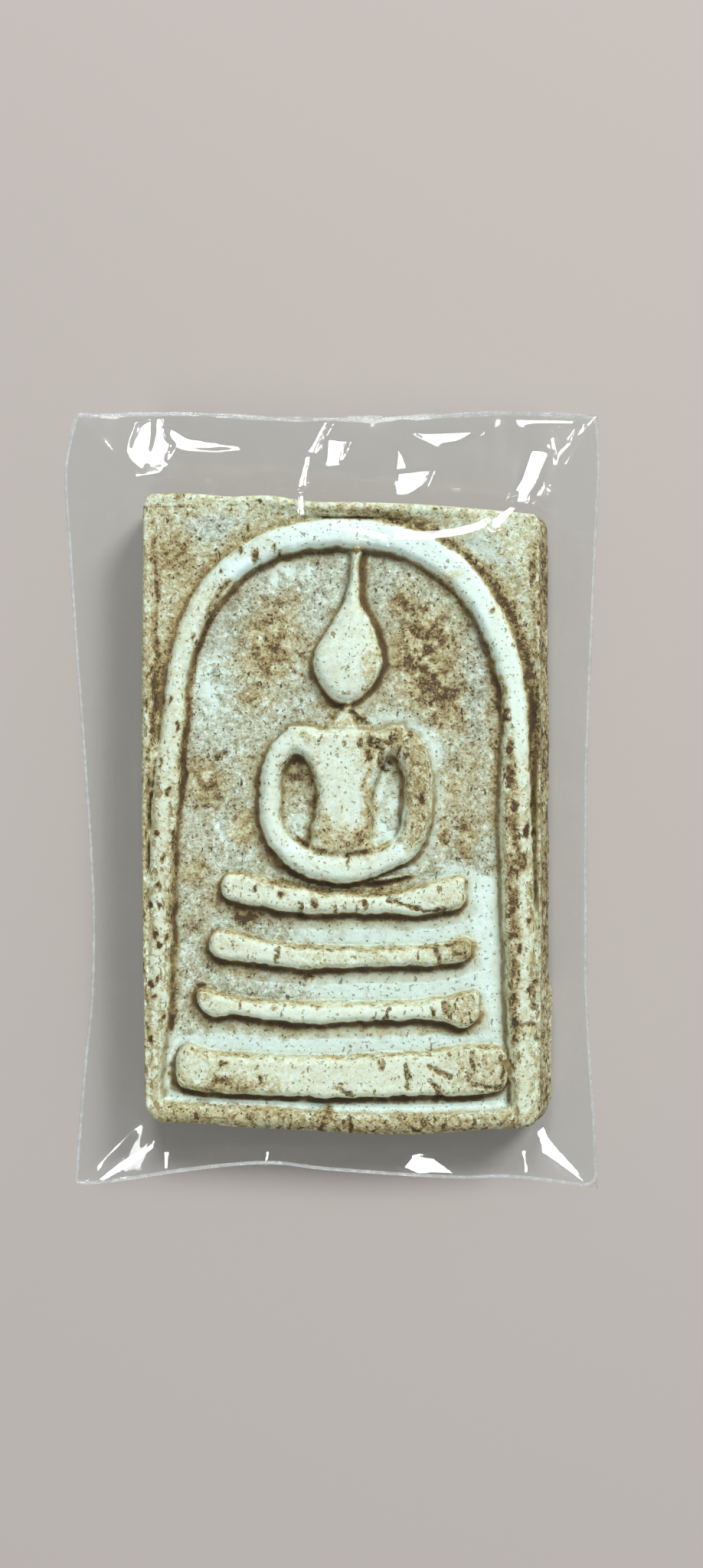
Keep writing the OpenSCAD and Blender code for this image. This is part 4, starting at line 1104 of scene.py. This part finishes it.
# Clear film: it lets nearly all light through, mirrors a little, more at a slant, and is scuffed
film, tree, surface = new_material("clear_film")
place = millimetres(tree)
scuff = noise(tree, millimetres(tree, (1, 0.15, 1)), 2.2, 4, 0.7)
haze = between(tree, scuff, 0.58, 0.85, 0.0, 0.04)
ripple = noise(tree, place, 0.9, 3)
bump = add(tree, "ShaderNodeBump", Height=ripple, Strength=0.2, Distance=0.03 * mm)
clear = add(tree, "ShaderNodeBsdfTransparent", Color=(0.975, 0.985, 0.985, 1))
mirror = add(tree, "ShaderNodeBsdfGlossy", Color=(1, 1, 1, 1), Roughness=0.035, Normal=bump)
glow = add(tree, "ShaderNodeBsdfGlossy", Color=(0.9, 0.96, 1, 1), Roughness=0.24, Normal=bump)
mirror = add(tree, "ShaderNodeMixShader", In0=0.22, In1=mirror, In2=glow)
milk = add(tree, "ShaderNodeBsdfDiffuse", Color=(0.9, 0.93, 0.95, 1))
gloss = times(tree, slant_gloss(tree, bump), attribute(tree, "shine"))
veiled = add(tree, "ShaderNodeMixShader", In0=haze, In1=clear, In2=milk)
tree.links.new(add(tree, "ShaderNodeMixShader", In0=gloss, In1=veiled, In2=mirror), surface)
front.data.materials.append(film)
front.visible_shadow = False
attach(front, "root")
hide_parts("front_film")

# Back film
# The same clear film under the back of the tablet. It lies flat on whatever the sleeve rests on and
# curves up to the seam all round, with a few pleats of its own at the corners.
BACK_FOLDS = [
    [(-11.8, 18.8, 0.0, 0.6), (-13.0, 20.6, 0.3, 0.9), (-14.6, 22.2, 0.0, 0.5)],
    [(12.8, 17.6, 0.0, 0.5), (13.8, 19.8, 0.3, 0.8), (15.0, 22.0, 0.0, 0.4)],
    [(-11.6, -19.4, 0.0, 0.5), (-13.0, -20.8, 0.26, 0.8), (-14.4, -22.2, 0.0, 0.4)],
    [(12.6, -20.0, 0.0, 0.5), (13.8, -21.4, 0.26, 0.7), (15.0, -22.6, 0.0, 0.4)],
    [(2.0, 19.4, 0.0, 0.5), (2.4, 21.0, 0.2, 0.8), (2.2, 22.4, 0.0, 0.4)],
]
back = film_mesh(
    "back_film_skin", BACK_FOLDS, [], 31, -1,
    [(-16, 0.2), (-9, 0.5), (10, 0.2), (16, 0.2)],
    [(-23.1, 0.2), (-17.5, 0.5), (17, 0.2), (23.1, 0.2)],
)
back.data.materials.append(film)
back.visible_shadow = False
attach(back, "root")
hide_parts("back_film")

# Seam bead
# Where the two films were cut and welded with a hot wire they ran together into a thin bead. It is
# even along the sides, and lumpy along the top end, which was closed by hand.
BEAD_R = 0.11
bead_sides = 10
bead_step = 0.16
bead_end_x, bead_end_y = 15.4, 22.9
side_y = np.arange(-bead_end_y, bead_end_y, bead_step)
end_x = np.arange(-bead_end_x, bead_end_x, bead_step)
left_edge, right_edge, _, _ = sleeve_edges(0 * side_y, side_y)
_, _, bottom_edge, top_edge = sleeve_edges(end_x, 0 * end_x)
inset = BEAD_R
loop = np.concatenate([
    np.column_stack([end_x, bottom_edge + inset]),
    np.column_stack([right_edge - inset, side_y]),
    np.column_stack([end_x, top_edge - inset])[::-1],
    np.column_stack([left_edge + inset, side_y])[::-1],
])
for _ in range(3):
    loop = (np.roll(loop, 1, axis=0) + 2 * loop + np.roll(loop, -1, axis=0)) / 4
ahead = np.roll(loop, -1, axis=0) - np.roll(loop, 1, axis=0)
ahead /= np.linalg.norm(ahead, axis=1)[:, None]
outwards = np.column_stack([ahead[:, 1], -ahead[:, 0]])
run = np.arange(len(loop)) * bead_step
on_top = ease((loop[:, 1] - 21.8) / 0.6)
thick = BEAD_R * (1 + 0.12 * speckle(run, 0 * run, 4.0, 41) + on_top * (
    0.4 + 0.7 * speckle(run, 0 * run, 1.1, 42)))
lift = 0.05 * speckle(run, 0 * run, 3.0, 43)
angle = np.linspace(0, 2 * np.pi, bead_sides, endpoint=False)[None, :]
ring_out = thick[:, None] * np.cos(angle)
ring_up = thick[:, None] * np.sin(angle) * (1 + 0.3 * on_top[:, None])
bead_points = np.stack([
    loop[:, :1] + outwards[:, :1] * ring_out,
    loop[:, 1:] + outwards[:, 1:] * ring_out,
    seam_z + lift[:, None] + ring_up,
], axis=2).reshape(-1, 3)
bead_number = np.arange(len(loop) * bead_sides).reshape(len(loop), bead_sides)
next_ring = np.roll(bead_number, -1, axis=0)
bead_faces = np.column_stack([
    bead_number.ravel(), next_ring.ravel(), np.roll(next_ring, -1, axis=1).ravel(),
    np.roll(bead_number, -1, axis=1).ravel(),
])
bead = build_mesh("seam_bead", bead_points, bead_faces)

melted, tree, surface = new_material("melted_film")
place = millimetres(tree)
lumps = noise(tree, place, 2.5, 3)
bump = add(tree, "ShaderNodeBump", Height=lumps, Strength=0.4, Distance=0.04 * mm)
clear = add(tree, "ShaderNodeBsdfTransparent", Color=(0.96, 0.97, 0.97, 1))
mirror = add(tree, "ShaderNodeBsdfGlossy", Color=(1, 1, 1, 1), Roughness=0.12, Normal=bump)
milk = add(tree, "ShaderNodeBsdfDiffuse", Color=(0.85, 0.88, 0.9, 1))
cloudy = between(tree, lumps, 0.35, 0.7, 0.15, 0.35)
veiled = add(tree, "ShaderNodeMixShader", In0=cloudy, In1=clear, In2=milk)
gloss = slant_gloss(tree, bump)
tree.links.new(add(tree, "ShaderNodeMixShader", In0=gloss, In1=veiled, In2=mirror), surface)
bead.data.materials.append(melted)
bead.visible_shadow = False
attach(bead, "root")

# Floor and light
# A plain pale floor, an even grey sky, a soft key lamp from the top right and two smaller, weaker
# lamps from the top and the bottom end that glint in the pleats.
floor_z = -0.03 * mm
floor_half = 1.5
corners = [(-floor_half, -floor_half, floor_z), (floor_half, -floor_half, floor_z),
           (floor_half, floor_half, floor_z), (-floor_half, floor_half, floor_z)]
floor_mesh = bpy.data.meshes.new("floor")
floor_mesh.from_pydata(corners, [], [(0, 1, 2, 3)])
floor = bpy.data.objects.new("floor", floor_mesh)
scene.collection.objects.link(floor)
paper, tree, surface = new_material("pale_floor")
tree.links.new(add(tree, "ShaderNodeBsdfDiffuse", Color=(0.50, 0.465, 0.44, 1)), surface)
floor_mesh.materials.append(paper)

world = bpy.data.worlds.new("sky")
world.use_nodes = True
world.node_tree.nodes["Background"].inputs["Color"].default_value = (1, 1, 1, 1)
world.node_tree.nodes["Background"].inputs["Strength"].default_value = 0.33
scene.world = world


def lamp(name, turned, tilt, distance, size, power):
    """Square lamp that looks at the tablet, turned from the top end towards the right and tilted
    from straight above, both in degrees."""
    light = bpy.data.lights.new(name, "AREA")
    light.size, light.energy = size, power
    turned, tilt = np.radians(turned), np.radians(tilt)
    way = Vector((np.sin(tilt) * np.sin(turned), np.sin(tilt) * np.cos(turned), np.cos(tilt)))
    holder = bpy.data.objects.new(name, light)
    holder.location = way * distance
    holder.rotation_mode = "QUATERNION"
    holder.rotation_quaternion = (-way).to_track_quat("-Z", "Y")
    scene.collection.objects.link(holder)


lamp("key_lamp", 38, 50, 0.5, 0.14, 1.6)
lamp("top_lamp", -6, 44, 0.5, 0.12, 0.8)
lamp("low_lamp", 184, 58, 0.5, 0.09, 0.45)
scene.view_settings.view_transform = "Standard"
